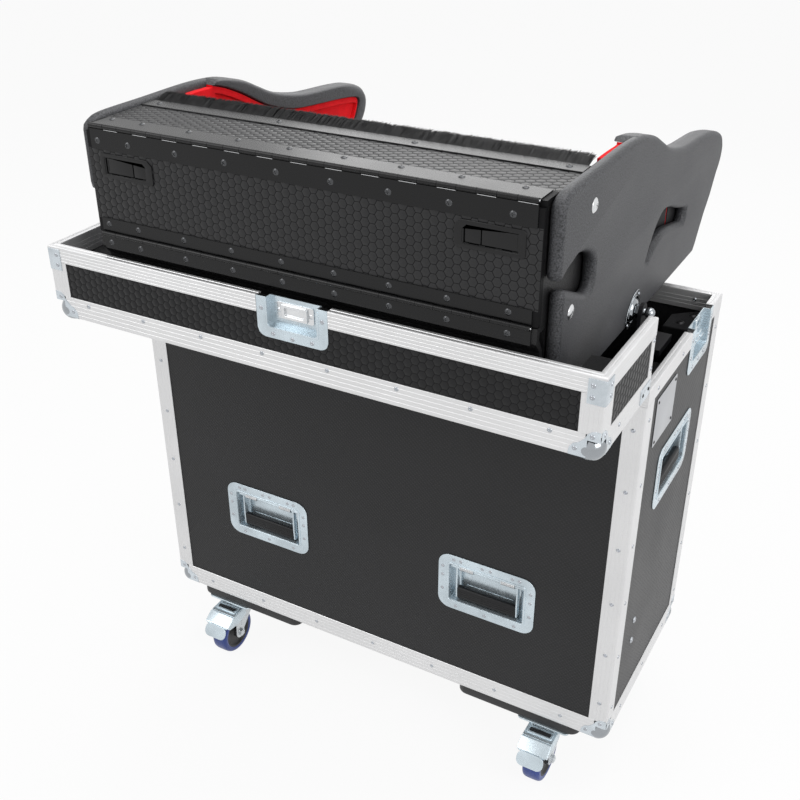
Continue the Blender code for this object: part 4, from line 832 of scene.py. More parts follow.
flap_place = slope(bends[2], bends[3])[0]
treadle += [plate([rounded(0.038, 0.0018, 0.0008, 0, v)], -0.0004, 0.0007, flap_place, edge=0.0004)
            for v in (-0.008, -0.003, 0.002, 0.007)]
skirt_line = [(PEDAL_Y + 0.006, PEDAL_Z + 0.0015), (PEDAL_Y + 0.01, PEDAL_Z - 0.018),
              (-0.052, PEDAL_Z - 0.026), (-0.08, PEDAL_Z - 0.022), (-0.0868, PEDAL_Z - 0.015),
              (-0.064, PEDAL_Z + 0.0005)]
treadle += cheeks(skirt_line, 0.0288, 0.0012, 0.0008)
treadle = gathered(treadle + [cylinder(0.0034, -0.0298, 0.0298, shift(0, PEDAL_Y, PEDAL_Z) @ FACE_RIGHT)])
for end, y in caster_ends.items():
    for side, sx in SIDES:
        spot = end + "_" + side
        place = shift(sx * CASTER_X, y, PLATE_LOW) @ (FACE_UP if end == "front" else HALF_TURN)
        centre = place @ axle_place
        wheel = "wheel_" + spot
        piece("caster_yoke_" + spot, placed(fork, place), "fork_" + spot, painted_zinc,
              ["caster_fork_" + spot])
        piece("wheel_tread_" + spot, placed(tread, centre), wheel, tread_blue, ["caster_wheel_" + spot],
              50)
        piece("wheel_centre_" + spot, placed(core, centre), wheel, wheel_black, ())
        if end == "front":
            piece("brake_treadle_" + spot, placed(treadle, place), "pedal_" + spot, sheet_zinc,
                  ["brake_pedal_" + spot])
            piece("brake_slot_" + spot, placed(slot_bed, place), "pedal_" + spot, wheel_black, ())

# Lift inside the case: black coated guides on both side walls, black coated bars that slide in them,
# and carpet covered blocks in the back corners with two screws each.
powder_black = material("powder_black", (0.005, 0.005, 0.006), 0.0, 0.45, 0.1, 14.0, 600.0, 0.4, 0.12, 0.35,
                        specular=0.25)
for side, sx in SIDES:
    dressed("lift_guide_" + side, powder_black)
    dressed("lift_bar_" + side, powder_black)
    dressed("corner_block_" + side, carpet)
    heads = [((sx * x, FRONT + y, BASE + 0.706), UP) for x, y in ((0.45, 0.345), (0.462, 0.385))]
    fasteners("corner_block_screws_" + side, heads, "case", black_screw, screw, 2.0)

# Front tray. The lower part of the case lid, hinged down: plywood walls with a laminate pressed into
# flat hexagons, framed in aluminium like the case, open at the top and the back.
TRAY_FRONT = FRONT - 0.22
TRAY_BACK = FRONT - 0.0045
TRAY_LOW = RIM - 0.0035
TRAY_RIM = RIM + 0.1265
TRAY_SIDE = TRAY_BACK - 0.017
FIELD_LOW, FIELD_HIGH = TRAY_LOW + 0.037, TRAY_RIM - 0.027
hex_laminate = material("laminate_tray", (0.009, 0.009, 0.0098), 0.0, 0.42, 0.14, 6.0, 500.0, 0.7, 0.14,
                        0.35, 0.0002, specular=0.25)
groove_black = material("laminate_groove", (0.0035, 0.0035, 0.004), 0.0, 0.6, 0.15, 9.0, 800.0, 0.3, 0.1,
                        0.3, specular=0.15)


# Cut through the whole of a mesh; its outer side goes where that is asked for
def sliced(bm, point, normal, clear=False):
    bmesh.ops.bisect_plane(bm, geom=bm.verts[:] + bm.edges[:] + bm.faces[:], plane_co=point,
                           plane_no=normal, clear_outer=clear)


# Modifier tree that lays one tile at every point of a staggered grid
hex_tree, given, made = laying_tree("hexagon_field", [
    ("Pitch", "Float", 0.014), ("Width", "Float", 1.0), ("Height", "Float", 1.0)])
row = reckon(hex_tree, "MULTIPLY", given["Pitch"], math.sqrt(3) / 2)
counts, spans = [], []
for side, step in (("Width", given["Pitch"]), ("Height", row)):
    whole = reckon(hex_tree, "ADD", reckon(hex_tree, "DIVIDE", given[side], step), 3.0)
    counts.append(reckon(hex_tree, "FLOOR", whole))
    spans.append(reckon(hex_tree, "MULTIPLY", reckon(hex_tree, "SUBTRACT", counts[-1], 1.0), step))
grid = add(hex_tree, "GeometryNodeMeshGrid", {
    "Size X": spans[0], "Size Y": spans[1], "Vertices X": counts[0], "Vertices Y": counts[1]}).outputs["Mesh"]
where = add(hex_tree, "GeometryNodeInputPosition").outputs[0]
apart = add(hex_tree, "ShaderNodeSeparateXYZ", {0: where}).outputs
line_at = reckon(hex_tree, "MULTIPLY_ADD", spans[1], 0.5, apart["Y"])
count = reckon(hex_tree, "ROUND", reckon(hex_tree, "DIVIDE", line_at, row))
odd = reckon(hex_tree, "FLOORED_MODULO", count, 2.0)
slide = reckon(hex_tree, "MULTIPLY", reckon(hex_tree, "MULTIPLY", odd, given["Pitch"]), 0.5)
offset = add(hex_tree, "ShaderNodeCombineXYZ", {"X": slide}).outputs[0]
grid = add(hex_tree, "GeometryNodeSetPosition", {"Geometry": grid, "Offset": offset}).outputs[0]
lay_out(hex_tree, given, made, grid)


# One raised hexagon, open below
HEX_PITCH = 0.014
HEX_RISE = 0.00028
hex_bm = bmesh.new()
bmesh.ops.create_cone(hex_bm, cap_ends=True, segments=6, radius1=0.00745, radius2=0.00685, depth=HEX_RISE,
                      matrix=shift(0, 0, HEX_RISE / 2))
bmesh.ops.delete(hex_bm, geom=[f for f in hex_bm.faces if f.normal.z < -0.9], context="FACES")
hex_tile = temp(bpy.data.meshes.new("hex_tile"))
hex_bm.to_mesh(hex_tile.data)
hex_bm.free()


# Field of raised hexagons trimmed to a rectangle of the plane, with its cut-outs left free
def hex_field(u0, u1, v0, v1, place, look, free=()):
    mesh = grown(bpy.data.meshes.new("start"), hex_tree, hex_tile, look, Pitch=HEX_PITCH, Width=v1 - v0,
                 Height=u1 - u0)
    mesh.transform(shift((u0 + u1) / 2, (v0 + v1) / 2, 0) @ Matrix.Rotation(math.radians(90), 4, "Z"))
    bm = to_bm(mesh)
    middles = [(f, f.calc_center_median()) for f in bm.faces]
    inside = [f for f, m in middles if any(a < m.x < b and c < m.y < d for a, b, c, d in free)]
    bmesh.ops.delete(bm, geom=inside, context="FACES")
    for point, normal in (((u0, 0, 0), (-1, 0, 0)), ((u1, 0, 0), (1, 0, 0)), ((0, v0, 0), (0, -1, 0)),
                          ((0, v1, 0), (0, 1, 0))):
        sliced(bm, point, normal, True)
    bm.to_mesh(mesh)
    bm.free()
    mesh.transform(place)
    return mesh


tray_fields = [
    hex_field(-0.467, 0.467, FIELD_LOW, FIELD_HIGH, shift(0, TRAY_FRONT + PANEL_STEP, 0) @ FACE_FRONT,
              hex_laminate, [(-0.06, 0.06, TRAY_RIM - 0.062, TRAY_RIM)]),
    hex_field(TRAY_FRONT + 0.033, TRAY_SIDE + 0.002, FIELD_LOW, FIELD_HIGH, right_face, hex_laminate),
    hex_field(-TRAY_SIDE - 0.002, -TRAY_FRONT - 0.033, FIELD_LOW, FIELD_HIGH, left_face, hex_laminate)]
piece("tray_hexagons", gathered(tray_fields), "tray", hex_laminate, ())
tray_nicks = [box((sx * 0.52, TRAY_FRONT - 0.01, TRAY_LOW - 0.01),
                  (sx * (HALF_W - NICK), TRAY_FRONT + NICK, TRAY_LOW + NICK_TALL)) for sx in (-1, 1)]
tray_boards = cut(merged(frame["nodes"]["tray_shell"].data), tray_nicks)
piece("tray_boards", tray_boards, "tray", groove_black, ["tray_shell"])

foot39 = angle_profile(0.039, 0.039)
post35 = angle_profile(0.035, 0.035)
end_post = angle_profile(0.017, 0.0095)
TRAY_CORNER = 0.023
POST_LOW, POST_TOP = TRAY_LOW + 0.039, TRAY_RIM - 0.029
BACKWARD = (0, 1, 0)
sill_half = HALF_W - TRAY_CORNER
tray_runs = [run(foot39, (-sill_half, TRAY_FRONT, TRAY_LOW), (sill_half, TRAY_FRONT, TRAY_LOW), UP, BACKWARD)]
for sx in (-1, 1):
    x, inwards = sx * HALF_W, (-sx, 0, 0)
    corner_top = (x, TRAY_FRONT, TRAY_RIM)
    tray_runs += [
        run(foot39, (x, TRAY_FRONT + TRAY_CORNER, TRAY_LOW), (x, TRAY_BACK, TRAY_LOW), UP, inwards),
        run(post35, (x, TRAY_FRONT, POST_LOW), (x, TRAY_FRONT, POST_TOP), inwards, BACKWARD),
        run(end_post, (x, TRAY_BACK, POST_LOW), (x, TRAY_BACK, POST_TOP), (0, -1, 0), inwards),
        run(rim, corner_top, (x, TRAY_BACK, TRAY_RIM), inwards, DOWN, (1, 0)),
        run(rim, corner_top, (sx * LATCH_HALF, TRAY_FRONT, TRAY_RIM), BACKWARD, DOWN, (1, 0))]

# Tray corners. A pressed zinc angle is riveted over the top of each front post, and a ball corner over
# each lower corner, as on the case.
BRACE_THICK, BRACE_LEG = 0.0012, 0.026
brace_x, brace_y = HALF_W + BRACE_THICK, TRAY_FRONT - BRACE_THICK
brace_outer = [(HALF_W - BRACE_LEG, brace_y), (HALF_W - 0.002, brace_y),
               (HALF_W + 0.0002, TRAY_FRONT - 0.0004), (brace_x, TRAY_FRONT + 0.002),
               (brace_x, TRAY_FRONT + BRACE_LEG)]
brace_inner = [(HALF_W, TRAY_FRONT + BRACE_LEG), (HALF_W, TRAY_FRONT), (HALF_W - BRACE_LEG, TRAY_FRONT)]
brace = plate([brace_outer + brace_inner], TRAY_RIM - 0.043, TRAY_RIM - 0.005, FACE_UP, edge=0.0003)
cap_shell, cap_ball = ball_corner(0.046)
cap_places = [shift(sx * HALF_W, TRAY_FRONT, TRAY_LOW) @ Matrix.Diagonal((-sx, 1, 1, 1)) for sx in (-1, 1)]
piece("tray_zinc_corners", gathered([mirrored(brace), spread_out(cap_shell, cap_places)]), "tray", zinc, (),
      40)
piece("tray_corner_balls", spread_out(cap_ball, cap_places), "tray", chrome, (), 60)
tray_spots = cap_rivets(cap_places, 0.037)
for sx in (-1, 1):
    x, outwards, side_z = sx * HALF_W, (sx, 0, 0), TRAY_LOW + 0.022
    for z in (TRAY_RIM - 0.015, TRAY_RIM - 0.033):
        tray_spots.append(((sx * (HALF_W - RIVET_IN), TRAY_FRONT - BRACE_THICK, z), (0, -1, 0)))
        tray_spots.append(((sx * (HALF_W + BRACE_THICK), TRAY_FRONT + 0.017, z), outwards))
    tray_spots += row_of((x, TRAY_FRONT + 0.075, side_z), (x, TRAY_BACK - 0.03, side_z), 0.075, outwards)
    y = TRAY_BACK - 0.008
    tray_spots += row_of((x, y, TRAY_LOW + 0.05), (x, y, TRAY_RIM - 0.034), 0.04, outwards)
z = TRAY_LOW + 0.03
tray_spots += row_of((-0.425, TRAY_FRONT, z), (0.425, TRAY_FRONT, z), 0.121, (0, -1, 0))
fasteners("tray_rivets", tray_spots, "tray", rivet_metal)


# Tray hinge. One long zinc plated hinge whose knuckles turn on a steel pin; one leaf is fixed to the edge
# of the case and the other under the tray.
HINGE_HALF, HINGE_KNUCKLES, HINGE_R = 0.484, 11, 0.0032


# Leaf of a hinge with every other knuckle, its edges at near and far from the pin
def hinge_leaf(half, count, parity, radius, near, far, low, place, thick=0.0015):
    pitch = 2 * half / count
    parts = [box((-half, near, low), (half, far, low + thick))]
    for i in range(parity, count, 2):
        u0, u1 = -half + i * pitch + 0.0002, -half + (i + 1) * pitch - 0.0002
        parts.append(cylinder(radius, u0, u1, FACE_RIGHT, 16, 0.0003))
        parts.append(box((u0, -radius * 0.1, low), (u1, near + 0.001, low + thick)))
    return placed(gathered(parts), place)


hinge_place = shift(0, FRONT, RIM)
down_front = axes((1, 0, 0), DOWN, (0, -1, 0))
forward_low = axes((-1, 0, 0), (0, -1, 0), UP)
fixed_leaf = hinge_leaf(HINGE_HALF, HINGE_KNUCKLES, 0, HINGE_R, 0.005, 0.026, -0.0004,
                        hinge_place @ down_front)
moving_leaf = hinge_leaf(HINGE_HALF, HINGE_KNUCKLES, 1, HINGE_R, 0.0042, 0.034, -0.0045,
                         hinge_place @ forward_low)
piece("tray_hinge_fixed", fixed_leaf, "case", zinc, ())
piece("tray_hinge_moving", moving_leaf, "tray", zinc, ())
piece("tray_edging", gathered(tray_runs), "tray", aluminium, ["tray_frame"], 25)

# Joint plates. A light zinc plated steel strap on each side of the tray, close to the line where it meets
# the case, held by two black screws.
STRAP_Z, STRAP_THICK = 0.913, 0.0012
strap = plate([rounded(0.046, 0.026, 0.003, FRONT - 0.029, STRAP_Z)], HALF_W, HALF_W + STRAP_THICK,
              FACE_RIGHT, edge=0.0003)
piece("tray_side_straps", mirrored(strap), "tray", zinc, ())
strap_spots = [((sx * (HALF_W + STRAP_THICK), FRONT + y, STRAP_Z), (sx, 0, 0))
               for sx in (-1, 1) for y in (-0.042, -0.016)]
fasteners("tray_strap_screws", strap_spots, "tray", black_screw, screw, 0.8)

# Tray foam blocks: charcoal foam cut square and glued in the corners, edges a little worn and faces
# that swell a little
foam_look = material("foam", (0.015, 0.015, 0.016), 0.0, 0.95, 0.2, 30.0, 700.0, 1.2, 0.03, 1.0, 0.001,
                     specular=0.2, sheen=0.05)
FOAM_CELL, FOAM_SWELL = 0.012, 0.0006
low, high = (0.4325, TRAY_FRONT + 0.0158, 0.9074), (0.488, FRONT - 0.0905, 0.9888)
foam = temp(box(low, high))
ease = foam.modifiers.new("ease", "BEVEL")
ease.width = 0.004
ease.segments = 3
foam_bm = to_bm(baked(foam))
for axis in range(3):
    count = int((high[axis] - low[axis]) / FOAM_CELL)
    normal = Vector([1 if k == axis else 0 for k in range(3)])
    for k in range(1, count):
        sliced(foam_bm, normal * (low[axis] + (high[axis] - low[axis]) * k / count), normal)
for vert in foam_bm.verts:
    for axis in range(3):
        for end, way in ((low[axis], 1), (high[axis], -1)):
            if abs(vert.co[axis] - end) < 1e-6:
                wave = math.sin(vert.co.x * 71 + vert.co.y * 53) + math.sin(vert.co.y * 97 - vert.co.z * 83)
                vert.co[axis] += way * FOAM_SWELL * (0.5 + 0.25 * wave)
foam_block = from_bm(foam_bm)
for side, mesh in (("left", placed(foam_block, MIRROR_X)), ("right", foam_block)):
    block = piece("tray_foam_" + side, mesh, "tray", foam_look, ["tray_foam_block_" + side],
                  50)

# Keeper: the other half of a latch, let into the front rim of the tray; a drawn zinc dish with a
# riveted hook plate, its loop bent from the same sheet
keeper_place = shift(0, TRAY_FRONT + PANEL_STEP, TRAY_RIM) @ FACE_FRONT
keeper_plate = plate([rounded(0.068, 0.028, 0.004, 0, -0.022)], -0.0104, -0.0088, edge=0.0004)
loop_hole = rounded(0.036, 0.013, 0.002, 0, -0.022)
loop = plate([rounded(0.048, 0.024, 0.003, 0, -0.022), loop_hole], -0.009, -0.0046, edge=0.001)
loop_bed = plate([loop_hole], -0.0086, -0.008, edge=0.0002)
piece("tray_keeper_sheet", placed(latch_sheet(0.068, 0.05), keeper_place), "tray", sheet_zinc,
      ["tray_latch_keeper"])
keeper_hook = gathered([keeper_plate, loop, loop_bed])
piece("tray_keeper_hook", placed(keeper_hook, keeper_place), "tray", bright_steel, ())
keeper_rivets = on_sheet([(-0.0555, -0.02), (0.0555, -0.02), (-0.036, -0.06), (0.0, -0.062), (0.036, -0.06)])
fasteners("tray_keeper_rivets", keeper_rivets, "tray", rivet_metal, place=keeper_place)
fasteners("tray_keeper_screws", on_sheet([(-0.029, -0.022), (0.029, -0.022)], -0.0088), "tray", bright_steel,
          screw, 0.95, place=keeper_place)

# Cradle cheeks. Two thick boards of textured dark grey moulding with soft rounded edges, a hand hole at
# the front, a curved lifting slot and a lip that rolls inwards over the felt; truss head screws hold them.
CHEEK_IN, CHEEK_OUT = 0.39, 0.412
top_run = [(-0.178, 1.087), (-0.15, 1.0935), (-0.05, 1.094), (0.06, 1.0945), (0.128, 1.0905),
           (0.162, 1.0845), (0.205, 1.072), (0.248, 1.0525), (0.287, 1.035), (0.333, 1.021),
           (0.392, 1.0085), (0.445, 1.003), (0.515, 0.9975), (0.572, 0.9905), (0.612, 0.98)]
nose_run = [(0.612, 0.98), (0.636, 0.969), (0.65, 0.949), (0.6515, 0.931), (0.644, 0.912), (0.628, 0.895)]
under_run = [(0.602, 0.858), (0.574, 0.831), (0.553, 0.804), (0.538, 0.783), (0.524, 0.769)]
front_run = [(-0.158, 0.769), (-0.168, 0.773), (-0.173, 0.783), (-0.173, 0.945), (-0.17, 0.953)]
hand_run = [(-0.16, 0.954), (-0.083, 0.919), (-0.068, 0.915), (-0.056, 0.917), (-0.05, 0.926),
            (-0.05, 0.955), (-0.056, 0.967), (-0.07, 0.976), (-0.092, 0.985), (-0.119, 0.99), (-0.161, 0.98)]
nose_top = [(-0.178, 0.972), (-0.188, 0.976), (-0.19, 0.986), (-0.19, 1.072), (-0.187, 1.081)]
slot_top = [(0.21, 0.862), (0.226, 0.884), (0.25, 0.908), (0.283, 0.924), (0.33, 0.919), (0.38, 0.902),
            (0.424, 0.889)]
slot_low = [(0.431, 0.884), (0.431, 0.872), (0.424, 0.864), (0.345, 0.881), (0.3, 0.887), (0.255, 0.879),
            (0.224, 0.86)]
lip_run = [(0.106, 1.084), (0.144, 1.072), (0.192, 1.051), (0.236, 1.028), (0.275, 1.01), (0.33, 0.993),
           (0.374, 0.984), (0.451, 0.976), (0.527, 0.969), (0.585, 0.961), (0.6, 0.955), (0.6035, 0.944),
           (0.596, 0.924), (0.584, 0.906)]


def case_plane(points):
    return [(FRONT + y, BASE + z) for y, z in points]


# Smooth run through points, from the first to the last
def smooth(points, steps):
    ends = [points[0]] + list(points) + [points[-1]]
    result = []
    for i in range(1, len(ends) - 2):
        a, b, c, d = (Vector(p) for p in ends[i - 1:i + 3])
        for t in (k / steps for k in range(steps)):
            result.append(tuple(0.5 * ((2 * b) + (c - a) * t + (2 * a - 5 * b + 4 * c - d) * t * t
                                       + (3 * b - a - 3 * c + d) * t * t * t)))
    return result + [tuple(points[-1])]


top_line = case_plane(smooth(top_run, 5))
crest = top_line + case_plane(smooth(nose_run, 5))[1:]
outline = crest + case_plane(under_run + front_run + hand_run + nose_top)
slot = case_plane(smooth(slot_top, 4) + slot_low)
cheek_board = plate([outline, slot], CHEEK_IN, CHEEK_OUT, FACE_RIGHT, edge=0.01, rounds=6)


# Evenly spaced points along a run
def spaced(points, count):
    lengths = [0.0]
    for a, b in zip(points, points[1:]):
        lengths.append(lengths[-1] + (Vector(b) - Vector(a)).length)
    result, k = [], 0
    for i in range(count):
        want = lengths[-1] * i / (count - 1)
        while k < len(points) - 2 and lengths[k + 1] < want:
            k += 1
        t = (want - lengths[k]) / max(lengths[k + 1] - lengths[k], 1e-9)
        result.append(Vector(points[k]).lerp(Vector(points[k + 1]), min(t, 1.0)))
    return result


# Closed form through a row of rings, each a list of points
def lofted(rings):
    bm = bmesh.new()
    rings = [[bm.verts.new(point) for point in ring] for ring in rings]
    for one, two in zip(rings, rings[1:]):
        for k in range(len(one)):
            m = (k + 1) % len(one)
            bm.faces.new((one[k], one[m], two[m], two[k]))
    bm.faces.new(rings[0])
    bm.faces.new(list(reversed(rings[-1])))
    return from_bm(bm)


# Lip lofted from sections that round off towards its free side, most of all at the nose
LIP_SPANS = 72
LIP_IN, LIP_ROOT = 0.371, 0.402
lip_low = case_plane(smooth(lip_run, 3))
lip_crest = [p for p in crest if p[0] > FRONT + 0.106]
lip_rings = []
for low_at, top_at in zip(spaced(lip_low, LIP_SPANS), spaced(lip_crest, LIP_SPANS)):
    reach = (top_at - low_at).length
    nosing = min(1.0, max(0.0, (top_at.x - FRONT - 0.54) / 0.085))
    wide = 0.013 + 0.013 * nosing
    tall = min(0.42 * reach, 0.011) * (1 - nosing) + 0.7 * reach * nosing
    small = min(0.0035, 0.2 * reach)
    section = [(LIP_ROOT, 0.0)]
    section += [(LIP_IN + small * (1 - math.sin(a)), small * (1 - math.cos(a)))
                for a in (math.radians(90 * i / 4) for i in range(5))]
    section += [(LIP_IN + wide * (1 - math.cos(a)), reach - tall * (1 - math.sin(a)))
                for a in (math.radians(90 * i / 8) for i in range(9))]
    section.append((LIP_ROOT, reach))
    way = (top_at - low_at) / reach
    lip_rings.append([(x, low_at.x + way.x * t, low_at.y + way.y * t) for x, t in section])
cheek = gathered([cheek_board, lofted(lip_rings)])
# Painted shade: a thin sheet, much darker than the moulding, closes the back of each lifting slot and stands
# in for the deep shade inside it
shaded_slot_back = plate([case_plane([(0.2, 0.852), (0.441, 0.852), (0.441, 0.934), (0.2, 0.934)]),
                    case_plane([(0.383, 0.862), (0.383, 0.926), (0.376, 0.926), (0.376, 0.862)])],
                   0.3902, 0.3908, FACE_RIGHT)
cheek_look = material("cheek_moulding", (0.047, 0.048, 0.052), 0.0, 0.5, 0.08, 6.0, 420.0, 4.2, 0.2, 0.6,
                      0.0007, specular=0.35)
for side, mesh in (("right", cheek), ("left", placed(cheek, MIRROR_X))):
    piece("cheek_moulding_" + side, mesh, "cradle", cheek_look, ["cheek_" + side], 60)
slot_shade_paint = material("painted_slot_shade", (0.012, 0.012, 0.013), 0.0, 0.6, 0.1, 9.0, 520.0, 1.5, 0.1, 0.4,
                     specular=0.2)
piece("cheek_slot_floors", mirrored(shaded_slot_back), "cradle", slot_shade_paint, ())
truss_dome = turned([(0, 0.0032), (0.003, 0.0031), (0.0065, 0.0025), (0.0095, 0.0013), (0.011, 0),
                     (0.011, -0.0004), (0, -0.0004)], 32)
truss_screw = temp(cut(truss_dome, cross(0.0034, 0.0007, 0.0012, 0.005)))
truss_spots = [((sx * CHEEK_OUT, FRONT + y, BASE + z), (sx, 0, 0))
               for sx in (-1, 1) for y, z in ((-0.075, 1.047), (-0.137, 0.913))]
fasteners("cheek_screws", truss_spots, "cradle", bright_steel, truss_screw)

# Cheek liners. Red felt glued over a foam pad: flat ahead of the lip, then a raised rim round a shallow
# pocket that takes the console's end.
felt = material("red_felt", (0.8, 0.01, 0.016), 0.0, 0.92, 0.1, 40.0, 900.0, 0.9, 0.04, 0.9, 0.0009,
                specular=0.08, sheen=0.06)


# Run of points moved sideways
def beside(points, distance):
    moved = []
    for i, p in enumerate(points):
        along = (Vector(points[min(i + 1, len(points) - 1)]) - Vector(points[max(i - 1, 0)])).normalized()
        moved.append((p[0] + along.y * distance, p[1] - along.x * distance))
    return moved


PAN_TOP = BASE + 0.7874
pad_start, pad_end = FRONT + 0.022, FRONT + 0.1048
pad_line = [p for p in top_line if pad_start < p[0] < pad_end]
pad_line = [(pad_start, pad_line[0][1])] + pad_line + [(pad_end, pad_line[-1][1])]
liner_end = case_plane([(0.556, 0.86), (0.545, 0.826), (0.524, 0.796)])
liner_outline = beside(pad_line, 0.013) + [(pad_end, lip_low[0][1])] + beside(lip_low, 0.0014)[1:]
liner_outline += liner_end + [(liner_end[-1][0], PAN_TOP), (pad_start, PAN_TOP)]
pocket = [p for p in beside(lip_low, 0.0132)[1:-6] if p[0] < FRONT + 0.59]
pocket += case_plane([(0.598, 0.943), (0.592, 0.93), (0.574, 0.904), (0.546, 0.856), (0.524, 0.82),
                      (0.51, 0.806), (0.2, 0.806), (0.18, 0.83)])
liner = gathered([plate([liner_outline, pocket], 0.3758, 0.3896, FACE_RIGHT, edge=0.0014, rounds=3),
                  plate([pocket], 0.3838, 0.3894, FACE_RIGHT)])
for side, mesh in (("left", placed(liner, MIRROR_X)), ("right", liner)):
    pad = piece("cheek_felt_" + side, mesh, "cradle", felt, ["cheek_liner_" + side], 50)

# Cradle deck and sill. Plywood boards between the cheeks, under the console and under the cable housing,
# sprayed with a coarse black texture coat.
coat = material("texture_coat", (0.005, 0.005, 0.0055), 0.0, 0.5, 0.2, 18.0, 420.0, 0.9, 0.22, 0.9, 0.0011,
                specular=0.35)
dressed("cradle_pan", coat)

# Pivot pins. Pressed oval flange riveted through the cheek, domed boss, hexagon nut, neck and the
# polished ball that hangs in the lift bar.
PIN_Y, PIN_Z = FRONT + 0.16, BASE + 0.798
tilt = math.radians(40)
pin_place = shift(0, PIN_Y, PIN_Z) @ FACE_RIGHT
pin_face = shift(CHEEK_OUT, 0, 0) @ pin_place


# Oval outline that leans with the cheek
def oval(a, b, steps=48):
    ring = [(a * math.cos(t), b * math.sin(t)) for t in (2 * math.pi * i / steps for i in range(steps))]
    sin, cos = math.sin(tilt), math.cos(tilt)
    return [(u * cos - v * sin, u * sin + v * cos) for u, v in ring]


ball_bm = bmesh.new()
bmesh.ops.create_uvsphere(ball_bm, u_segments=36, v_segments=20, radius=0.009,
                          matrix=shift(0.4418, PIN_Y, PIN_Z))
pin = gathered([
    plate([oval(0.0365, 0.024)], 0.0003, 0.002, pin_face, edge=0.0007, rounds=3),
    plate([oval(0.0255, 0.0205), oval(0.0225, 0.0175)], 0.0012, 0.003, pin_face, edge=0.0008, rounds=3),
    turned([(0, 0.001), (0.0195, 0.001), (0.0185, 0.0026), (0.0168, 0.005), (0.014, 0.007),
            (0.0115, 0.008), (0, 0.008)], 40, pin_face),
    cylinder(0.0113, 0.0075, 0.0138, pin_face, 6, 0.0009),
    turned([(0, 0.01), (0.0058, 0.01), (0.0058, 0.0225), (0.0044, 0.0245), (0, 0.0245)], 24, pin_face),
    from_bm(ball_bm)])
for side, mesh in (("right", pin), ("left", placed(pin, MIRROR_X))):
    piece("pivot_pin_turned_" + side, mesh, "cradle", chrome, ["pivot_pin_" + side], 40)
pin_spots = [((sx * (CHEEK_OUT + 0.002), PIN_Y + r * math.cos(tilt), PIN_Z + r * math.sin(tilt)), (sx, 0, 0))
             for sx in (-1, 1) for r in (-0.0305, 0.0305)]
fasteners("pivot_rivets", pin_spots, "cradle", rivet_metal, rivet, 0.85)

# Cable housing. Front and top panels of hexagon laminate on plywood, joined by two piano hinges in
# satin black steel; every leaf is held by a row of small black screws.
HOUSE_HALF = 0.3895
HOUSE_FRONT = FRONT - 0.2
HOUSE_TOP = BASE + 1.086
HOUSE_LOW = BASE + 0.9085
LATCH_X = 0.314
house_laminate = material("laminate_housing", (0.013, 0.013, 0.014), 0.0, 0.4, 0.14, 6.0, 500.0, 0.9, 0.14,
                          0.4, 0.0002, specular=0.35)
dressed("housing_front_panel", groove_black)
dressed("housing_top_panel", groove_black)
field_half = HOUSE_HALF - 0.0005
latch_gaps = [(x - 0.046, x + 0.046, BASE + 1.009, BASE + 1.039) for x in (-LATCH_X, LATCH_X)]
front_field = hex_field(-field_half, field_half, BASE + 0.933, BASE + 1.05,
                        shift(0, HOUSE_FRONT, 0) @ FACE_FRONT, house_laminate, latch_gaps)
top_field = hex_field(-field_half, field_half, FRONT - 0.156, FRONT - 0.067, shift(0, 0, HOUSE_TOP),
                      house_laminate)
piece("housing_front_hexagons", front_field, "housing_front", house_laminate, ())
piece("housing_top_hexagons", top_field, "housing_top", house_laminate, ())
black_satin = material("black_satin", (0.0035, 0.0035, 0.004), 0.0, 0.28, 0.12, 12.0, 500.0, 0.3, 0.14, 0.16,
                       0.0002, specular=0.3)
LEAF_HALF = 0.3809
LEAF_COUNT = 26
KNUCKLE_R = 0.0038
leaf_line = HOUSE_FRONT - 0.0018
LOW_PIN_Y = HOUSE_FRONT - 0.0045
TOP_PIN_Y, TOP_PIN_Z = HOUSE_FRONT - 0.0005, HOUSE_TOP + 0.0005
low_place = shift(0, LOW_PIN_Y, HOUSE_LOW)
top_place = shift(0, TOP_PIN_Y, TOP_PIN_Z)
up_front = axes((1, 0, 0), UP, (0, 1, 0))
down_back = axes((1, 0, 0), DOWN, (0, 1, 0))
low_back, top_back, top_low = leaf_line - LOW_PIN_Y, leaf_line - TOP_PIN_Y, HOUSE_TOP + 0.0003 - TOP_PIN_Z
for name, parity, far, low, place, body, node_name in (
        ("low_upper", 0, 0.026, low_back, low_place @ up_front, "housing_front", "front_low_hinge_leaf"),
        ("low_sill", 1, 0.027, low_back, low_place @ down_back, "cradle", "sill_hinge_leaf"),
        ("top_front", 0, 0.0375, top_back, top_place @ down_back, "housing_front", "front_top_hinge_leaf"),
        ("top_top", 1, 0.046, top_low, top_place, "housing_top", "top_hinge_leaf")):
    leaf = hinge_leaf(LEAF_HALF, LEAF_COUNT, parity, KNUCKLE_R, 0.0042, far, low, place)
    piece("hinge_" + name, leaf, body, black_satin, [node_name], 40)
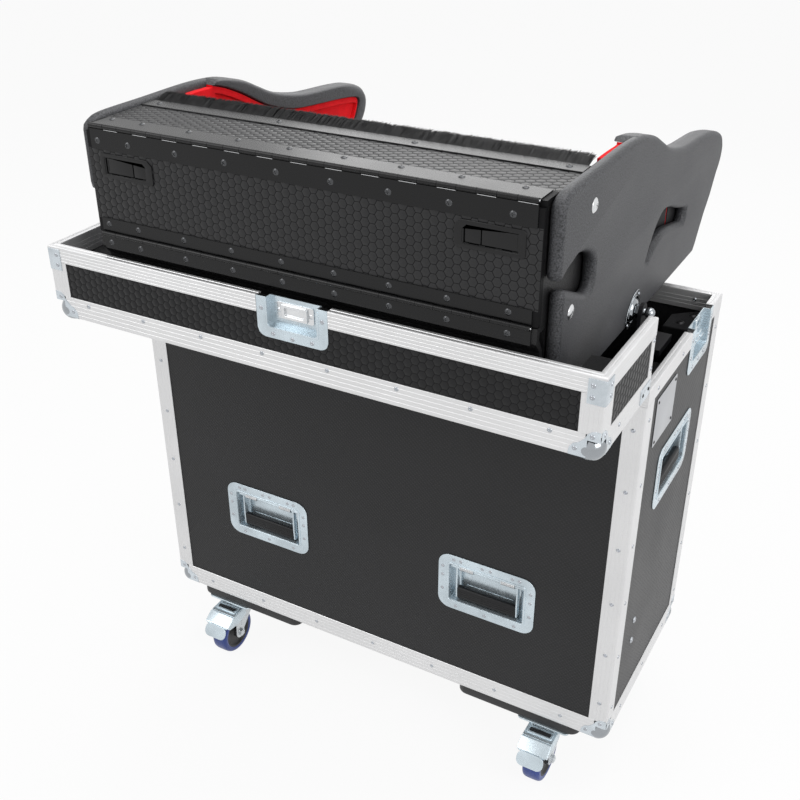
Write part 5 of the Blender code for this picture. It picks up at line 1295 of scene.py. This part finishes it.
# Painted highlights: thin bright steel strips along every other knuckle at the leaf edge, standing in for the
# light caught in the gaps between the knuckles
KNUCKLE_PITCH = 0.0293
for end, body, z0, z1, parity in (("top", "housing_front", HOUSE_TOP - 0.0047, HOUSE_TOP - 0.0041, 1),
                                  ("low", "cradle", HOUSE_LOW - 0.0047, HOUSE_LOW - 0.0042, 0)):
    starts = [-LEAF_HALF + KNUCKLE_PITCH * i + 0.001 for i in range(parity, LEAF_COUNT, 2)]
    edges = [box((x, leaf_line - 0.0003, z0), (x + KNUCKLE_PITCH - 0.002, leaf_line + 0.0005, z1))
             for x in starts]
    piece("hinge_edges_" + end, gathered(edges), body, bright_steel, ())
for end, place, body in (("low", low_place, "cradle"), ("top", top_place, "housing_front")):
    pin = cylinder(0.0016, -LEAF_HALF - 0.0012, LEAF_HALF + 0.0012, place @ FACE_RIGHT, 12, 0.0003)
    piece("hinge_pin_" + end, pin, body, bright_steel, ())
housing_screw = material("housing_screw", (0.06, 0.062, 0.066), 0.7, 0.16, 0.05, 20.0, 600.0, 0.1, 0.05,
                         0.05, specular=0.9)
screw_x = [-0.367] + [-0.305 + 0.093 * i for i in range(8)]
top_row = [((x, FRONT - 0.164, HOUSE_TOP + 0.0018), UP) for x in screw_x]
top_row += [((x, FRONT - 0.053, HOUSE_TOP + 0.0023), UP) for x in (-0.363, -0.121, 0.121, 0.363)]
front_rows = [[((x, leaf_line, BASE + z), (0, -1, 0)) for x in screw_x] for z in (0.9245, 1.063, 0.8925)]
for body, spots in (("housing_front", front_rows[0] + front_rows[1]), ("cradle", front_rows[2]),
                    ("housing_top", top_row)):
    fasteners(body + "_leaf_screws", spots, body, housing_screw, screw, 1.3)

# Slam latches. Glossy black moulded frame let into the panel, one upper corner cut off, with a long
# paddle on the outer side and a short fixed tab beyond the seam.
latch_gloss = material("latch_plastic", (0.0035, 0.0035, 0.004), 0.0, 0.22, 0.08, 20.0, 900.0, 0.3, 0.1,
                       0.12, 0.0002, specular=0.35)
frame_outline = [(-0.0525, -0.0165), (-0.049, -0.02), (0.049, -0.02), (0.0525, -0.0165), (0.0525, 0.011),
                 (0.0435, 0.02), (-0.049, 0.02), (-0.0525, 0.0165)]
well_outline = [(-0.044, -0.0125), (-0.0425, -0.014), (0.0385, -0.014), (0.0405, -0.012), (0.0405, 0.007),
                (0.0335, 0.014), (-0.0425, 0.014), (-0.044, 0.0125)]
tab_outline = [(0.0135, -0.0122), (0.036, -0.0122), (0.038, -0.0102), (0.038, 0.0058), (0.0316, 0.0122),
               (0.0135, 0.0122)]
bezel = gathered([
    plate([frame_outline, well_outline], 0.0003, 0.002, edge=0.0007, rounds=3),
    plate([well_outline, rounded(0.08, 0.0262, 0.001, -0.0018, 0)], -0.007, 0.0012),
    plate([well_outline], -0.0078, -0.005),
    plate([tab_outline], -0.006, -0.0006, edge=0.0005)])
paddle = gathered([
    plate([rounded(0.0536, 0.024, 0.0012, -0.015, 0)], -0.003, -0.0002, edge=0.0005, rounds=3),
    plate([rounded(0.002, 0.018, 0.0008, -0.0385, 0, 3)], -0.0006, 0.0002, edge=0.0003)])
for side, sx in SIDES:
    place = shift(sx * LATCH_X, HOUSE_FRONT, BASE + 1.024) @ FACE_FRONT @ Matrix.Diagonal((-sx, 1, 1, 1))
    piece("latch_frame_" + side, placed(bezel, place), "housing_front", latch_gloss,
          ["slam_latch_bezel_" + side], 30)
    piece("latch_paddle_" + side, placed(paddle, place), "paddle_" + side, latch_gloss,
          ["slam_latch_paddle_" + side], 30)

# Clamping strip and brush. A black steel flat bar holds a dense row of nylon bristles, through which
# the cables leave the housing.
strip_outline = [(FRONT - 0.069, 0.0003), (FRONT - 0.069, 0.0015), (FRONT - 0.0682, 0.0023),
                 (FRONT - 0.0373, 0.0023), (FRONT - 0.0365, 0.0015), (FRONT - 0.0365, 0.0003)]
strip_half = HOUSE_HALF - 0.0012
strip = plate([strip_outline], -strip_half, strip_half, shift(0, 0, HOUSE_TOP) @ FACE_RIGHT)
piece("brush_bar", strip, "housing_top", black_satin, ["brush_strip"], 30)
brush_tree, given, made = laying_tree("brush", [
    ("Count", "Int", 100), ("Low", "Vector", (0, 0, 0)), ("High", "Vector", (1, 1, 1)),
    ("Lean", "Vector", (0.1, 0.1, 0.1)), ("Short", "Float", 0.8), ("Seed", "Int", 3)])
root = chance(brush_tree, "FLOAT_VECTOR", given["Low"], given["High"], given["Seed"])
points = add(brush_tree, "GeometryNodePoints", {"Count": given["Count"], "Position": root}).outputs[0]
other_seed = reckon(brush_tree, "ADD", given["Seed"], 5.0)
backwards = add(brush_tree, "ShaderNodeVectorMath", {0: given["Lean"], "Scale": -1.0}, operation="SCALE")
lean = chance(brush_tree, "FLOAT_VECTOR", backwards.outputs[0], given["Lean"], other_seed)
length = chance(brush_tree, "FLOAT", given["Short"], 1.0, given["Seed"])
stretch = add(brush_tree, "ShaderNodeCombineXYZ", {"X": 1.0, "Y": length, "Z": 1.0}).outputs[0]
lay_out(brush_tree, given, made, points, Rotation=lean, Scale=stretch)
strand_rings = []
for share, width in ((0.0, 0.0006), (0.6, 0.00055), (1.0, 0.0002)):
    y, z = 0.033 * share, 0.0085 * share + 0.002 * math.sin(math.pi * share)
    strand_rings.append([(width * math.cos(a), y, z + width * math.sin(a))
                         for a in (math.radians(120 * k + 30) for k in range(3))])
bristle_black = material("bristles", (0.004, 0.004, 0.0045), 0.0, 0.5, 0.2, 60.0, 1500.0, 0.5, 0.1, 0.1,
                         specular=0.2)
brush = grown(bpy.data.meshes.new("start"), brush_tree, temp(lofted(strand_rings)), bristle_black,
              Count=9000, Low=(-0.3835, FRONT - 0.0372, HOUSE_TOP - 0.0024),
              High=(0.3835, FRONT - 0.0366, HOUSE_TOP + 0.0018), Lean=(0.07, 0.0, 0.08), Short=0.82, Seed=3)
piece("brush_bristles", brush, "housing_top", bristle_black, ["cable_brush"], 60)

# Stage: plain pale floor, white surround, soft studio lamps, and the camera at the photograph's angle.
floor_bm = bmesh.new()
FLOOR_HALF, FLOOR_WHITE, AMBIENT = 16.0, 0.92, 0.45
bmesh.ops.create_grid(floor_bm, x_segments=1, y_segments=1, size=FLOOR_HALF)
floor_mesh = bpy.data.meshes.new("floor")
floor_bm.to_mesh(floor_mesh)
floor_bm.free()


# Object of the stage, in the scene
def stand(name, content):
    item = bpy.data.objects.new(name, content)
    bpy.context.scene.collection.objects.link(item)
    return item


# Mask that is 1 on rays of the named kinds, such as those of the camera
def seen_rays(tree, *kinds):
    rays = add(tree, "ShaderNodeLightPath").outputs
    share = rays[kinds[0]]
    for kind in kinds[1:]:
        share = reckon(tree, "MAXIMUM", share, rays[kind])
    return share


floor = stand("floor", floor_mesh)
pale = bpy.data.materials.new("floor_pale")
pale.use_nodes = True
tree = pale.node_tree
tree.nodes["Principled BSDF"].inputs["Base Color"].default_value = (0.82, 0.82, 0.82, 1)
tree.nodes["Principled BSDF"].inputs["Roughness"].default_value = 0.9
white = add(tree, "ShaderNodeEmission", {"Color": (1, 1, 1, 1), "Strength": 1.0})
share = reckon(tree, "MULTIPLY", seen_rays(tree, "Is Camera Ray", "Is Glossy Ray"), FLOOR_WHITE)
blend = add(tree, "ShaderNodeMixShader", {0: share, 1: tree.nodes["Principled BSDF"].outputs[0],
                                          2: white.outputs[0]})
tree.links.new(blend.outputs[0], tree.nodes["Material Output"].inputs["Surface"])
floor.data.materials.append(pale)
world = bpy.data.worlds.new("studio")
bpy.context.scene.world = world
world.use_nodes = True
tree = world.node_tree
ambient = tree.nodes["Background"]
ambient.inputs["Color"].default_value = (1, 1, 1, 1)
ambient.inputs["Strength"].default_value = AMBIENT
backdrop = add(tree, "ShaderNodeBackground", {"Color": (1, 1, 1, 1), "Strength": 1.0})
mix = add(tree, "ShaderNodeMixShader", {
    0: seen_rays(tree, "Is Camera Ray", "Is Glossy Ray", "Is Transmission Ray"), 1: ambient.outputs[0],
    2: backdrop.outputs[0]})
tree.links.new(mix.outputs[0], tree.nodes["World Output"].inputs["Surface"])
for name, place, size, power in (("key", (-2.2, -2.6, 3.4), 2.4, 46), ("fill", (3.0, -1.2, 2.4), 2.2, 52),
                                 ("top", (0.2, 0.6, 3.6), 2.6, 52), ("back", (-1.2, 3.0, 2.4), 2.0, 22)):
    lamp = bpy.data.lights.new(name, "AREA")
    lamp.size = size
    lamp.energy = power
    item = stand(name, lamp)
    item.location = place
    item.rotation_euler = (Vector((0, 0, 0.6)) - Vector(place)).to_track_quat("-Z", "Y").to_euler()
lens = bpy.data.cameras.new("camera")
lens.sensor_width = 36.0
lens.lens = 48.51
lens.shift_x = 0.0134
lens.shift_y = 0.0121
camera = stand("camera", lens)
yaw, pitch, roll = 0.5212, -0.5223, -0.008
look = Vector((-math.sin(yaw) * math.cos(pitch), math.cos(yaw) * math.cos(pitch), math.sin(pitch)))
camera.location = (0.8684, FRONT - 1.4363, 1.6945)
camera.rotation_mode = "QUATERNION"
camera.rotation_quaternion = look.to_track_quat("-Z", "Y") @ Matrix.Rotation(roll, 4, "Z").to_quaternion()
bpy.context.scene.camera = camera
bpy.context.scene.view_settings.view_transform = "Standard"

for helper in list(scratch.objects):
    bpy.data.objects.remove(helper, do_unlink=True)
bpy.data.collections.remove(scratch)
